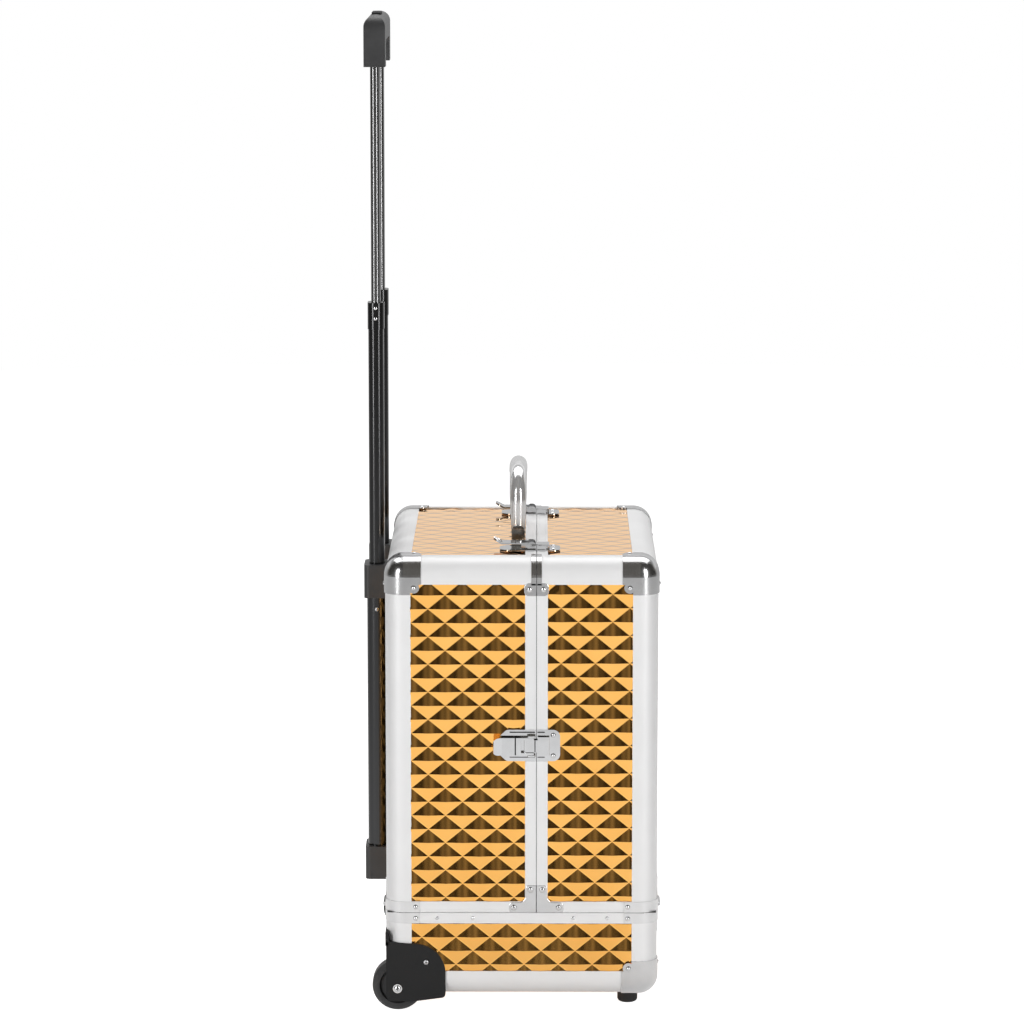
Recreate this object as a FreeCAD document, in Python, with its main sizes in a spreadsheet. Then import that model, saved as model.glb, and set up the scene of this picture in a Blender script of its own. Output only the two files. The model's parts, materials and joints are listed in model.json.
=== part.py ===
"""Trolley make-up case: two hinged half shells on a base box, in millimetres, +Z up, floor at z = 0.

The rear of the trolley (wheels, telescopic handle) faces -X, the front (feet) faces +X.
"""
import FreeCAD, Part
import os
import math
import Sketcher

V = FreeCAD.Vector
NEAR, FAR = -1, 1
REAR, FRONT = -1, 1

# Driving dimensions
SIZES = {
    # case and frame
    "case_width": 265.0,
    "case_depth": 344.0,
    "case_top": 451.0,
    "case_bottom": 17.0,
    "parting_height": 101.0,
    "seam_offset": 14.3,
    "joint_gap": 0.5,
    "rail_leg": 25.0,
    "rail_round": 18.0,
    "flat_width": 11.0,
    "rail_lip": 1.4,
    "panel_thickness": 4.0,
    "slot_depth": 5.5,
    "fit_gap": 0.1,
    # corner covers and brackets
    "cover_wall": 1.0,
    "cover_gap": 0.1,
    "corner_reach": 35.0,
    "tab_radius": 5.5,
    "tab_inset": 28.0,
    "bracket_length": 8.0,
    "bracket_wall": 1.0,
    "rivet_radius": 2.4,
    # shell hinges
    "hinge_out": 2.2,
    "hinge_pin_radius": 1.0,
    "hinge_knuckle_radius": 2.0,
    "hinge_length": 28.0,
    "hinge_gap": 1.5,
    "hinge_leaf_height": 27.0,
    "hinge_leaf_wall": 1.2,
    "running_clearance": 0.06,
    "swing_clearance": 0.3,
    # telescopic handle
    "tube_spacing": 122.0,
    "outer_tube_x": 20.0,
    "outer_tube_y": 28.0,
    "outer_tube_stand": 1.0,
    "outer_tube_low": 144.5,
    "outer_tube_high": 396.0,
    "tube_bracket_high": 33.0,
    "tube_bracket_x": 23.5,
    "tube_bracket_y": 38.0,
    "mid_tube_x": 15.0,
    "mid_tube_y": 23.0,
    "mid_tube_high": 662.0,
    "mid_tube_low": 368.0,
    "collar_high": 26.0,
    "collar_proud": 0.6,
    "inner_tube_x": 9.0,
    "inner_tube_y": 18.0,
    "inner_tube_low": 640.0,
    "tube_wall": 1.2,
    "tube_slide_gap": 0.3,
    "grip_top": 967.0,
    "grip_leg": 49.0,
    "grip_width": 21.0,
    "grip_bar_high": 24.0,
    "grip_leg_y": 26.0,
    "button_length": 46.0,
    "button_width": 9.0,
    "button_proud": 1.5,
    "button_travel": 3.0,
    # carry handle
    "carry_span": 104.0,
    "carry_top": 523.5,
    "carry_pivot_up": 11.0,
    "carry_tail": 4.5,
    "carry_offset": -4.0,
    "carry_leg_radius": 8.5,
    "carry_foot_half": 6.5,
    "carry_taper": 46.0,
    "carry_grip_radius": 9.0,
    "carry_bend": 26.0,
    "carry_pivot_radius": 2.5,
    "carry_mount_plate": 1.5,
    "carry_ear": 3.0,
    "carry_mount_x": 13.0,
    # draw latches
    "latch_width": 31.0,
    "latch_back": 36.0,
    "latch_nose": 18.0,
    "latch_taper": 7.0,
    "latch_round": 5.0,
    "latch_plate": 1.4,
    "latch_height": 268.0,
    "latch_top_inset": 60.0,
    "latch_pivot_out": 5.2,
    "latch_pivot_back": 5.0,
    "latch_pin_radius": 1.2,
    "latch_ear": 1.5,
    "latch_ear_half": 4.0,
    "latch_ear_round": 3.0,
    "lever_wall": 1.4,
    "lever_length": 33.5,
    "lever_lip": 8.0,
    "lever_lip_rise": 4.4,
    "lever_round": 6.5,
    "lever_width": 17.0,
    "lever_fork": 2.2,
    "lever_fork_reach": 2.5,
    "lever_neck": 4.0,
    "lever_groove": 20.0,
    "groove_width": 0.9,
    "groove_depth": 0.5,
    "hook_pin_back": 6.0,
    "hook_pin_radius": 1.0,
    "hook_wall": 1.4,
    "hook_head_start": 1.2,
    "hook_head_width": 18.0,
    "catch_start": 9.5,
    "catch_end": 23.0,
    "catch_lip": 4.0,
    "catch_round": 7.0,
    "catch_rivet_out": 10.2,
    # trays and arms
    "tray_high": 44.0,
    "tray_wall": 2.0,
    "tray_floor": 2.0,
    "tray_wall_gap": 12.0,
    "tray_lower": 110.0,
    "tray_pitch": 110.0,
    "tray_pivot_in": 34.0,
    "tray_pivot_up": 20.0,
    "tray_end_gap": 0.5,
    "tray_seam_gap": 4.0,
    "arm_offset": 60.0,
    "arm_drop": 6.0,
    "arm_width": 10.0,
    "arm_wall": 2.0,
    "pivot_radius": 2.0,
    # wheels and feet
    "wheel_radius": 25.0,
    "wheel_width": 20.0,
    "wheel_in": 9.0,
    "axle_in": 11.0,
    "axle_radius": 3.0,
    "housing_wall": 3.0,
    "housing_out": 2.0,
    "housing_reach": 58.0,
    "housing_top": 71.5,
    "housing_dip": 67.5,
    "housing_round": 30.0,
    "wheel_clearance": 2.5,
    "housing_low": 12.0,
    "housing_lift": 4.0,
    "axle_head_out": 1.5,
    "axle_head_high": 1.2,
    "wheel_hub": 4.0,
    "wheel_rim": 7.0,
    "wheel_web": 4.0,
    "wheel_dish": 1.5,
    "wheel_edge": 3.0,
    "foot_radius": 10.0,
    "foot_round": 3.5,
    "foot_inset": 28.0,
    "foot_gap": 1.0,
}

doc = FreeCAD.newDocument("train_case")
sheet = doc.addObject("Spreadsheet::Sheet", "Sizes")
for row, (name, value) in enumerate(SIZES.items(), start=1):
    sheet.set(f"A{row}", name)
    sheet.set(f"B{row}", str(value))
    sheet.setAlias(f"B{row}", name)
doc.recompute()


class Size:
    """A length written as a formula over the sheet's cells."""

    def __init__(self, text):
        self.text = str(text)

    def _join(self, sign, other, swap=False):
        left, right = Size.of(self), Size.of(other)
        if swap:
            left, right = right, left
        return Size(f"({left.text} {sign} {right.text})")

    def __add__(self, other):
        return self._join("+", other)

    def __radd__(self, other):
        return self._join("+", other, True)

    def __sub__(self, other):
        return self._join("-", other)

    def __rsub__(self, other):
        return self._join("-", other, True)

    def __mul__(self, other):
        return self._join("*", other)

    def __rmul__(self, other):
        return self._join("*", other, True)

    def __truediv__(self, other):
        return self._join("/", other)

    def __neg__(self):
        return Size(f"(0 - {self.text})")

    @property
    def mm(self):
        """The formula's present value."""
        return float(sheet.evalExpression(self.text))

    @staticmethod
    def of(value):
        """Return value as a Size."""
        return value if isinstance(value, Size) else Size(repr(float(value)))


class Sheet:
    """Gives each cell of the sheet as a Size."""

    def __getattr__(self, name):
        if name not in SIZES:
            raise AttributeError(name)
        return Size(f"Sizes.{name}")


s = Sheet()

# Derived lengths shared by several pieces
half_w = s.case_width / 2
half_d = s.case_depth / 2
slot_width = s.panel_thickness + 2 * s.fit_gap
rail_depth = 2 * s.rail_lip + slot_width
panel_out = s.rail_lip + s.fit_gap
panel_in = panel_out + s.panel_thickness
tongue = s.slot_depth - s.fit_gap
half_gap = s.joint_gap / 2
hinge_x = half_w + s.hinge_out
left_reach = half_w + s.tube_bracket_x
right_reach = hinge_x + s.hinge_knuckle_radius
centre_shift = (left_reach - right_reach) / 2
tube_x = -(half_w + s.outer_tube_stand + s.outer_tube_x / 2)
tube_y = s.tube_spacing / 2

nodes = []


def bind(obj, **sizes):
    """Tie each named property of obj to a formula."""
    for prop, size in sizes.items():
        obj.setExpression(prop, Size.of(size).text)


def move(obj, x=0, y=0, z=0):
    """Tie the place of obj to three formulas."""
    for axis, size in zip("xyz", (x, y, z)):
        obj.setExpression(f"Placement.Base.{axis}", Size.of(size).text)


def box(name, low, high):
    """A block between two corners."""
    obj = doc.addObject("Part::Box", name)
    bind(obj, Length=high[0] - low[0], Width=high[1] - low[1], Height=high[2] - low[2])
    move(obj, *low)
    return obj


AXES = {"x": V(1, 0, 0), "y": V(0, 1, 0), "z": V(0, 0, 1)}


def cylinder(name, radius, length, base, axis="z"):
    """A rod from base along +axis."""
    obj = doc.addObject("Part::Cylinder", name)
    bind(obj, Radius=radius, Height=length)
    obj.Placement = FreeCAD.Placement(V(), FreeCAD.Rotation(AXES["z"], AXES[axis]))
    move(obj, *base)
    return obj


DOME_SLOPE = 30.0
SAME_PLACE = 1e-4

# Corner rounds and small bosses, as shares of the width they sit on
HOOK_BEND_SHARE = 0.9
TUBE_ROUND_SHARE = 0.45
GRIP_DOME_SHARE = 0.49
BUTTON_ROUND_SHARE = 0.98
EAR_ROUND_SHARE = 0.9
ARM_ROUND_SHARE = 0.9
BARREL_SHARE = 0.6
TRAY_BOSS_SHARE = 0.6


def rivet(name, seat, facing, radius=None):
    """A domed rivet head on a seat point, facing outwards."""
    size = (radius or s.rivet_radius) / math.cos(math.radians(DOME_SLOPE))
    sunk = size * math.sin(math.radians(DOME_SLOPE))
    obj = doc.addObject("Part::Sphere", name)
    bind(obj, Radius=size)
    obj.Angle1 = DOME_SLOPE
    outwards = AXES[facing[1]] if facing[0] == "+" else -AXES[facing[1]]
    obj.Placement = FreeCAD.Placement(V(), FreeCAD.Rotation(AXES["z"], outwards))
    step = -sunk if facing[0] == "+" else sunk
    place = [point + step if axis == facing[1] else point for axis, point in zip("xyz", seat)]
    move(obj, *place)
    return obj


def cut(name, base, *tools):
    """Base with the tools taken out."""
    tool = tools[0]
    if len(tools) > 1:
        tool = doc.addObject("Part::MultiFuse", name + "_tools")
        tool.Shapes = list(tools)
    obj = doc.addObject("Part::Cut", name)
    obj.Base, obj.Tool = base, tool
    return obj


def fuse(name, *pieces):
    """The pieces as one solid."""
    obj = doc.addObject("Part::MultiFuse", name)
    obj.Shapes = list(pieces)
    return obj


def mirror(piece, axis="y"):
    """A copy of piece on the other side of the plane through the case's middle."""
    obj = doc.addObject("Part::Mirroring", piece.Name + "_mirrored")
    obj.Source = piece
    obj.Normal = V(1, 0, 0) if axis == "x" else V(0, 1, 0)
    return obj


def both(piece):
    """A piece and its copy at the far end."""
    return [piece, mirror(piece)]


PLANES = {"XY_Plane": "xy", "XZ_Plane": "xz", "YZ_Plane": "yz"}


def outline_sketch(body, name, plane, points, offset):
    """A closed outline whose every corner is tied to the sheet."""
    sketch = body.newObject("Sketcher::SketchObject", name)
    support = next(f for f in body.Origin.OriginFeatures if f.Role == plane)
    sketch.AttachmentSupport = [(support, "")]
    sketch.MapMode = "FlatFace"
    sketch.setExpression("AttachmentOffset.Base.z", Size.of(offset).text)
    sizes = [(Size.of(a), Size.of(b)) for a, b in points]
    spots = [V(a.mm, b.mm, 0) for a, b in sizes]
    count = len(spots)
    for i in range(count):
        sketch.addGeometry(Part.LineSegment(spots[i], spots[(i + 1) % count]), False)
    for i in range(count):
        sketch.addConstraint(Sketcher.Constraint("Coincident", i, 2, (i + 1) % count, 1))
    for i, pair in enumerate(sizes):
        for kind, size in zip(("DistanceX", "DistanceY"), pair):
            tie = sketch.addConstraint(Sketcher.Constraint(kind, -1, 1, i, 1, size.mm))
            sketch.setExpression(f"Constraints[{tie}]", size.text)
    return sketch


def edges_at(shape, plane, spot):
    """Names of the edges that run square to the plane through a corner of the outline."""
    first, second = PLANES[plane]
    found = []
    for number, edge in enumerate(shape.Edges, start=1):
        ends = [vertex.Point for vertex in edge.Vertexes]
        offsets = [getattr(end, first) - spot[0] for end in ends]
        offsets += [getattr(end, second) - spot[1] for end in ends]
        if len(ends) == 2 and max(abs(offset) for offset in offsets) < SAME_PLACE:
            found.append(f"Edge{number}")
    return found


def pad(name, plane, points, low, high, rounds=None):
    """A body padded from an outline between two places along the plane's normal.

    rounds gives the corner radius of some of the outline's corners, by their number.
    """
    low, high = Size.of(low), Size.of(high)
    body = doc.addObject("PartDesign::Body", name)
    offset = -high if plane == "XZ_Plane" else low
    sketch = outline_sketch(body, name + "_outline", plane, points, offset)
    feature = body.newObject("PartDesign::Pad", name + "_pad")
    feature.Profile = sketch
    bind(feature, Length=high - low)
    sketch.Visibility = False
    groups = {}
    for corner, radius in (rounds or {}).items():
        groups.setdefault(Size.of(radius).text, []).append(corner)
    for number, (radius, corners) in enumerate(groups.items()):
        doc.recompute()
        spots = [(Size.of(points[c][0]).mm, Size.of(points[c][1]).mm) for c in corners]
        names = [edge for spot in spots for edge in edges_at(feature.Shape, plane, spot)]
        fillet = body.newObject("PartDesign::Fillet", f"{name}_round{number}")
        fillet.Base = (feature, names)
        fillet.setExpression("Radius", radius)
        feature = fillet
    body.Tip = feature
    return body


def node(label, *pieces):
    """Register pieces as one named sub-part, moved so that the whole part is centred on the origin."""
    flat = [piece for group in pieces for piece in (group if isinstance(group, list) else [group])]
    if len(flat) == 1 and flat[0].TypeId == "PartDesign::Body":
        obj = flat[0]
    else:
        obj = doc.addObject("Part::Compound", label)
        obj.Links = flat
    obj.Label = label
    obj.setExpression("Placement.Base.x", centre_shift.text)
    nodes.append(obj)
    return obj


# Frame extrusions and panels
def round_profile():
    """Outline of the quarter-round rail, as distances in from its two outer faces."""
    leg, lip = s.rail_leg, s.rail_lip
    floor, inner = leg - s.slot_depth, s.rail_lip + slot_width
    arm = [(leg, 0), (leg, lip), (floor, lip), (floor, inner), (leg, inner), (leg, rail_depth)]
    back = [(q, p) for p, q in reversed(arm)]
    return [(0, 0)] + arm + [(rail_depth, rail_depth)] + back


def flat_profile():
    """Outline of the flat rail: distance from the joint, then depth from the outer face."""
    width, lip = s.flat_width - half_gap, s.rail_lip
    floor, inner = width - s.slot_depth, s.rail_lip + slot_width
    return [
        (0, 0), (width, 0), (width, lip), (floor, lip),
        (floor, inner), (width, inner), (width, rail_depth), (0, rail_depth),
    ]


def post(name, side, low, high):
    """An upright quarter-round rail at the near end."""
    points = [(side * (half_w - p), q - half_d) for p, q in round_profile()]
    return pad(name, "XY_Plane", points, low, high, {0: s.rail_round})


def long_round(name, side, level, up, low, high):
    """A quarter-round rail along the case's depth; up is the way its edge faces."""
    points = [(side * (half_w - p), level - up * q) for p, q in round_profile()]
    return pad(name, "XZ_Plane", points, low, high, {0: s.rail_round})


def end_round(name, level, up, low, high):
    """A quarter-round rail along the near end's width."""
    points = [(p - half_d, level - up * q) for p, q in round_profile()]
    return pad(name, "YZ_Plane", points, low, high, {0: s.rail_round})


def long_flat(name, side, level, up, low, high):
    """A flat rail along the depth, its joint edge at a level, widening the way up says."""
    points = [(side * (half_w - d), level + up * w) for w, d in flat_profile()]
    return pad(name, "XZ_Plane", points, low, high)


def end_flat(name, level, up, low, high):
    """A flat rail along the near end's width."""
    points = [(d - half_d, level + up * w) for w, d in flat_profile()]
    return pad(name, "YZ_Plane", points, low, high)


def span(side, start, stop):
    """Order two places so that the lower comes first."""
    return (start, stop) if side > 0 else (stop, start)


def ball_corner(name, side, level, up):
    """A three-way corner cover at the near end: a leg along each rail, and tabs on all but the underside."""
    reach, leg, gap = s.corner_reach, s.rail_leg, s.cover_gap
    skin = gap + s.cover_wall

    def block(tag, out, reaches):
        far = [side * (half_w + out), -half_d - out, level + up * out]
        near = [side * (half_w - reaches[0]), reaches[1] - half_d, level - up * reaches[2]]
        pairs = [sorted((Size.of(a), Size.of(b)), key=lambda size: size.mm) for a, b in zip(far, near)]
        return box(f"{name}_{tag}", [low for low, _ in pairs], [high for _, high in pairs])

    def rounded(tag, out):
        whole = block(tag + "_block", out, (reach, reach, reach))
        doc.recompute()
        corner = V((side * (half_w + out)).mm, (-half_d - out).mm, (level + up * out).mm)
        numbers = [
            i for i, edge in enumerate(whole.Shape.Edges, start=1)
            if any(vertex.Point.distanceToPoint(corner) < SAME_PLACE for vertex in edge.Vertexes)
        ]
        fillet = doc.addObject("Part::Fillet", f"{name}_{tag}")
        fillet.Base = whole
        radius = (s.rail_round + out).mm
        fillet.Edges = [(i, radius, radius) for i in numbers]
        return fillet

    shell = cut(name + "_shell", rounded("outer", skin), rounded("inner", gap))
    legs = fuse(
        name + "_legs",
        block("leg_x", skin, (reach, leg, leg)), block("leg_y", skin, (leg, reach, leg)),
        block("leg_z", skin, (leg, leg, reach)),
    )
    cap = doc.addObject("Part::Common", name + "_cap")
    cap.Base, cap.Tool = shell, legs
    inset, wall = s.tab_inset, s.cover_wall
    at_x, at_y, at_z = side * (half_w - inset), inset - half_d, level - up * inset
    x_face = side * (half_w + gap) - (0 if side > 0 else wall)
    tabs = [
        cylinder(name + "_tab_end", s.tab_radius, wall, (at_x, -half_d - skin, at_z), "y"),
        cylinder(name + "_tab_side", s.tab_radius, wall, (x_face, at_y, at_z), "x"),
    ]
    if up > 0:
        tabs.append(cylinder(name + "_tab_top", s.tab_radius, wall, (at_x, at_y, level + gap), "z"))
    return fuse(name, cap, *tabs)


def tab_rivets(name, side, level, up):
    """The rivets of one ball corner's tabs."""
    skin, inset = s.cover_gap + s.cover_wall, s.tab_inset
    at_x, at_y, at_z = side * (half_w - inset), inset - half_d, level - up * inset
    heads = [
        rivet(name + "_end", (at_x, -half_d - skin, at_z), "-y"),
        rivet(name + "_side", (side * (half_w + skin), at_y, at_z), "+x" if side > 0 else "-x"),
    ]
    if up > 0:
        heads.append(rivet(name + "_top", (at_x, at_y, level + skin), "+z"))
    return heads


def corner_bracket(name, side, low, high):
    """A cover that wraps the post where it meets the flat rails."""
    gap, skin = s.cover_gap, s.cover_gap + s.bracket_wall
    end = s.rail_leg + s.bracket_length
    wrap = [(-skin, -skin), (end, -skin), (end, -gap), (-gap, -gap), (-gap, end), (-skin, end)]
    points = [(side * (half_w - p), q - half_d) for p, q in wrap]
    rounds = {0: s.rail_round + skin, 3: s.rail_round + gap}
    return pad(name, "XY_Plane", points, low, high, rounds)


def panel(name, low, high):
    """A laminated panel between two corners."""
    return box(name, low, high)


# Levels of the parting line and of the panel edges
shell_low = s.parting_height + half_gap
base_high = s.parting_height - half_gap
shell_flat_top = s.parting_height + s.flat_width
base_flat_low = s.parting_height - s.flat_width
end_y = half_d - s.rail_leg


def half_shell(word, side):
    """Frame, panels and covers of one half of the upper case."""
    seam = s.seam_offset + side * half_gap
    stile = s.seam_offset + side * s.flat_width
    corner_x = side * (half_w - s.rail_leg)
    top_in = s.case_top - s.rail_leg
    node(
        word + "_round_rails",
        both(post(word + "_post", side, shell_low, s.case_top - s.rail_round)),
        long_round(word + "_long_top_rail", side, s.case_top, 1, -end_y, end_y),
        both(end_round(word + "_end_top_rail", s.case_top, 1, *span(side, seam, corner_x))),
    )
    stile_points = [(s.seam_offset + side * (w + half_gap), d - half_d) for w, d in flat_profile()]
    seam_points = [(s.seam_offset + side * (w + half_gap), s.case_top - d) for w, d in flat_profile()]
    node(
        word + "_flat_rails",
        long_flat(word + "_long_low_rail", side, shell_low, 1, -end_y, end_y),
        both(end_flat(word + "_end_low_rail", shell_low, 1, *span(side, seam, corner_x))),
        both(pad(word + "_stile", "XY_Plane", stile_points, shell_flat_top, top_in)),
        pad(word + "_seam_rail", "XZ_Plane", seam_points, -end_y, end_y),
    )
    edge_x = span(side, stile - side * tongue, corner_x + side * tongue)
    edge_y = (-end_y - tongue, end_y + tongue)
    edge_z = (shell_flat_top - tongue, top_in + tongue)
    skin_x = span(side, side * (half_w - panel_in), side * (half_w - panel_out))
    node(word + "_side_panel", panel(
        word + "_side", (skin_x[0], edge_y[0], edge_z[0]), (skin_x[1], edge_y[1], edge_z[1])))
    node(word + "_top_panel", panel(
        word + "_top", (edge_x[0], edge_y[0], s.case_top - panel_in),
        (edge_x[1], edge_y[1], s.case_top - panel_out)))
    node(word + "_end_panels", both(panel(
        word + "_end", (edge_x[0], panel_out - half_d, edge_z[0]),
        (edge_x[1], panel_in - half_d, edge_z[1]))))
    node(word + "_ball_corners", both(ball_corner(word + "_ball", side, s.case_top, 1)))
    high = shell_low + s.flat_width - s.joint_gap
    node(word + "_corner_brackets", both(corner_bracket(word + "_bracket", side, shell_low, high)))


half_shell("rear", REAR)
half_shell("front", FRONT)

# Base box
housing_x = s.housing_reach - half_w
housing_y = half_d - s.wheel_in - s.wheel_width - s.housing_wall
floor_in = s.case_bottom + s.rail_leg
node(
    "base_top_rails",
    long_flat("base_rear_top_rail", REAR, base_high, -1, -end_y, end_y),
    long_flat("base_front_top_rail", FRONT, base_high, -1, -end_y, end_y),
    both(end_flat("base_end_top_rail", base_high, -1, s.rail_leg - half_w, half_w - s.rail_leg)),
)

# Wheel housings: a moulded corner with a slot for the wheel, its outline shared by what it cuts
axle_x = s.axle_in - half_w
axle_z = s.wheel_radius
housing_out_y = -half_d - s.housing_out
HOUSING_FOOT_ROUND = 4.0
HOUSING_HEEL_ROUND = 6.0


def housing_block(name):
    """The outer form of the near wheel housing."""
    points = [
        (-half_w, s.housing_top), (housing_x, s.housing_dip), (housing_x, s.housing_low + s.housing_lift),
        (housing_x - s.housing_round, s.housing_low), (-half_w, s.housing_low),
    ]
    rounds = {1: s.housing_round, 2: HOUSING_FOOT_ROUND, 4: HOUSING_HEEL_ROUND}
    return pad(name, "XZ_Plane", points, housing_out_y, -housing_y, rounds)


def housing():
    """The near wheel housing with its wheel slot and axle hole."""
    room = s.wheel_radius + s.wheel_clearance
    low_y = s.wheel_in - half_d - s.wheel_clearance / 2
    high_y = low_y + s.wheel_width + s.wheel_clearance
    arch = cylinder("wheel_arch", room, high_y - low_y, (axle_x, low_y, axle_z), "y")
    rear = box("wheel_arch_rear", (axle_x - 2 * room, low_y, axle_z - room), (axle_x, high_y, axle_z + room))
    below = box("wheel_arch_low", (axle_x - room, low_y, axle_z - 2 * room), (axle_x + room, high_y, axle_z))
    bore = cylinder(
        "axle_bore", s.axle_radius + s.running_clearance, -housing_y - housing_out_y,
        (axle_x, housing_out_y, axle_z), "y")
    return cut("wheel_housing", housing_block("wheel_housing_block"), arch, rear, below, bore)


node("wheel_housings", both(housing()))
axle = cylinder(
    "wheel_axle_rod", s.axle_radius, -housing_y - housing_out_y, (axle_x, housing_out_y, axle_z), "y")
axle_head = cylinder(
    "wheel_axle_head", s.axle_radius + s.axle_head_out, s.axle_head_high,
    (axle_x, housing_out_y - s.axle_head_high, axle_z), "y")
node("wheel_axles", both(fuse("wheel_axle", axle, axle_head)))


def wheel(label, end):
    """A wheel with a crowned tread and a dished hub, turned about its axle."""
    radius, half = s.wheel_radius, s.wheel_width / 2
    bore = s.axle_radius + s.running_clearance
    hub, web = s.axle_radius + s.wheel_hub, half - s.wheel_web
    rim, dish, edge = radius - s.wheel_rim, s.wheel_dish, s.wheel_edge
    points = [
        (bore, -half), (hub, -half), (hub + dish, -web), (rim - dish, -web), (rim, -half),
        (radius - edge, -half), (radius, edge - half), (radius, half - edge), (radius - edge, half),
        (rim, half), (rim - dish, web), (hub + dish, web), (hub, half), (bore, half),
    ]
    body = doc.addObject("PartDesign::Body", label)
    sketch = outline_sketch(body, label + "_outline", "XY_Plane", points, 0)
    turn = body.newObject("PartDesign::Revolution", label + "_turn")
    turn.Profile = sketch
    turn.ReferenceAxis = (sketch, ["V_Axis"])
    turn.Angle = 360
    body.Tip = turn
    middle = half_d - s.wheel_in - half
    node(label, body)
    move(body, centre_shift + axle_x, end * middle, axle_z)


wheel("wheel_near", NEAR)
wheel("wheel_far", FAR)

# Base panels, cut back round the wheel housings
near_block = housing_block("housing_room")
far_block = mirror(near_block)
panel_y = end_y + tongue
panel_x = half_w - s.rail_leg + tongue
base_z = (floor_in - tongue, base_flat_low + tongue)
base_end = panel(
    "base_end", (-panel_x, panel_out - half_d, base_z[0]), (panel_x, panel_in - half_d, base_z[1]))
base_rear = panel(
    "base_rear", (panel_out - half_w, -panel_y, base_z[0]), (panel_in - half_w, panel_y, base_z[1]))
base_front = panel(
    "base_front", (half_w - panel_in, -panel_y, base_z[0]), (half_w - panel_out, panel_y, base_z[1]))
base_floor = panel(
    "base_floor", (-panel_x, -panel_y, s.case_bottom + panel_out),
    (panel_x, panel_y, s.case_bottom + panel_in))
rear_post = cut("base_rear_post_cut", post("base_rear_post", REAR, s.housing_dip, base_high), near_block)
node(
    "base_round_rails",
    both(rear_post),
    both(post("base_front_post", FRONT, s.case_bottom + s.rail_round, base_high)),
    long_round("base_rear_rail", REAR, s.case_bottom, -1, -housing_y, housing_y),
    long_round("base_front_rail", FRONT, s.case_bottom, -1, -end_y, end_y),
    both(end_round("base_end_rail", s.case_bottom, -1, housing_x, half_w - s.rail_leg)),
)
node("base_end_panels", both(cut("base_end_cut", base_end, near_block)))
node("base_side_panels", cut("base_rear_cut", base_rear, near_block, far_block), base_front)
node("base_floor_panel", cut("base_floor_cut", base_floor, near_block, far_block))
base_bracket_low = base_high - s.flat_width + s.joint_gap
node(
    "base_corner_brackets",
    both(corner_bracket("base_rear_bracket", REAR, base_bracket_low, base_high)),
    both(corner_bracket("base_front_bracket", FRONT, base_bracket_low, base_high)),
)
node("base_ball_corners", both(ball_corner("base_ball", FRONT, s.case_bottom, -1)))


def foot():
    """A round rubber foot under the near front corner, its lower rim rounded."""
    beside_cover = s.corner_reach + s.foot_gap + s.foot_radius
    place = (half_w - s.foot_inset, beside_cover - half_d, 0)
    peg = cylinder("foot_peg", s.foot_radius, s.case_bottom, place)
    doc.recompute()
    rim = [
        i for i, edge in enumerate(peg.Shape.Edges, start=1)
        if edge.BoundBox.ZMax < SAME_PLACE
    ]
    pad_rim = doc.addObject("Part::Fillet", "foot")
    pad_rim.Base = peg
    pad_rim.Edges = [(i, s.foot_round.mm, s.foot_round.mm) for i in rim]
    return pad_rim


node("rubber_feet", both(foot()))


# Shell hinges: leaves on both sides of the parting line, knuckles on one pin, just inside the corner brackets
hinge_start = s.rail_leg + s.bracket_length + s.hinge_gap - half_d


def hinge_leaf(name, side, up):
    """One near leaf; up is 1 on the shell (middle knuckle) and -1 on the base (outer knuckles)."""
    axis_x, level = side * hinge_x, s.parting_height
    start = hinge_start
    third = s.hinge_length / 3
    clear = s.hinge_knuckle_radius + s.swing_clearance
    wall = span(side, side * half_w, side * (half_w + s.hinge_leaf_wall))
    z = span(up, level + up * clear, level + up * s.hinge_leaf_height)
    pieces = [box(name + "_plate", (wall[0], start, z[0]), (wall[1], start + s.hinge_length, z[1]))]
    gap = s.swing_clearance / 2
    knuckles = [(start + third + gap, start + 2 * third - gap)]
    if up < 0:
        knuckles = [(start, start + third - gap), (start + 2 * third + gap, start + s.hinge_length)]
    for number, (low, high) in enumerate(knuckles):
        tag = f"{name}_{number}"
        pieces.append(cylinder(tag, s.hinge_knuckle_radius, high - low, (axis_x, low, level), "y"))
        web = span(up, level, level + up * clear)
        pieces.append(box(tag + "_web", (wall[0], low, web[0]), (wall[1], high, web[1])))
    hole = cylinder(
        name + "_hole", s.hinge_pin_radius + s.running_clearance, s.hinge_length, (axis_x, start, level), "y")
    return cut(name, fuse(name + "_body", *pieces), hole)


def hinge_pin(name, side):
    """The near pin of one side."""
    place = (side * hinge_x, hinge_start, s.parting_height)
    return cylinder(name, s.hinge_pin_radius, s.hinge_length, place, "y")


node(
    "base_hinge_leaves",
    both(hinge_leaf("base_rear_leaf", REAR, -1)), both(hinge_leaf("base_front_leaf", FRONT, -1)),
)
node("rear_hinge_leaves", both(hinge_leaf("rear_leaf", REAR, 1)))
node("front_hinge_leaves", both(hinge_leaf("front_leaf", FRONT, 1)))

# Telescopic handle


def section(across, along):
    """Corners and corner radius of a rounded tube section round the near tube's axis."""
    half_x, half_y = across / 2, along / 2
    corners = [
        (tube_x - half_x, -tube_y - half_y), (tube_x + half_x, -tube_y - half_y),
        (tube_x + half_x, half_y - tube_y), (tube_x - half_x, half_y - tube_y),
    ]
    radius = across * TUBE_ROUND_SHARE
    return corners, {corner: radius for corner in range(4)}


def tube(name, across, along, low, high):
    """A near tube with a rounded section and an open bore."""
    corners, rounds = section(across, along)
    bore, bore_rounds = section(across - 2 * s.tube_wall, along - 2 * s.tube_wall)
    skin = pad(name + "_skin", "XY_Plane", corners, low, high, rounds)
    return cut(name, skin, pad(name + "_bore", "XY_Plane", bore, low, high, bore_rounds))


BRACKET_ROUND = 5.0


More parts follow.
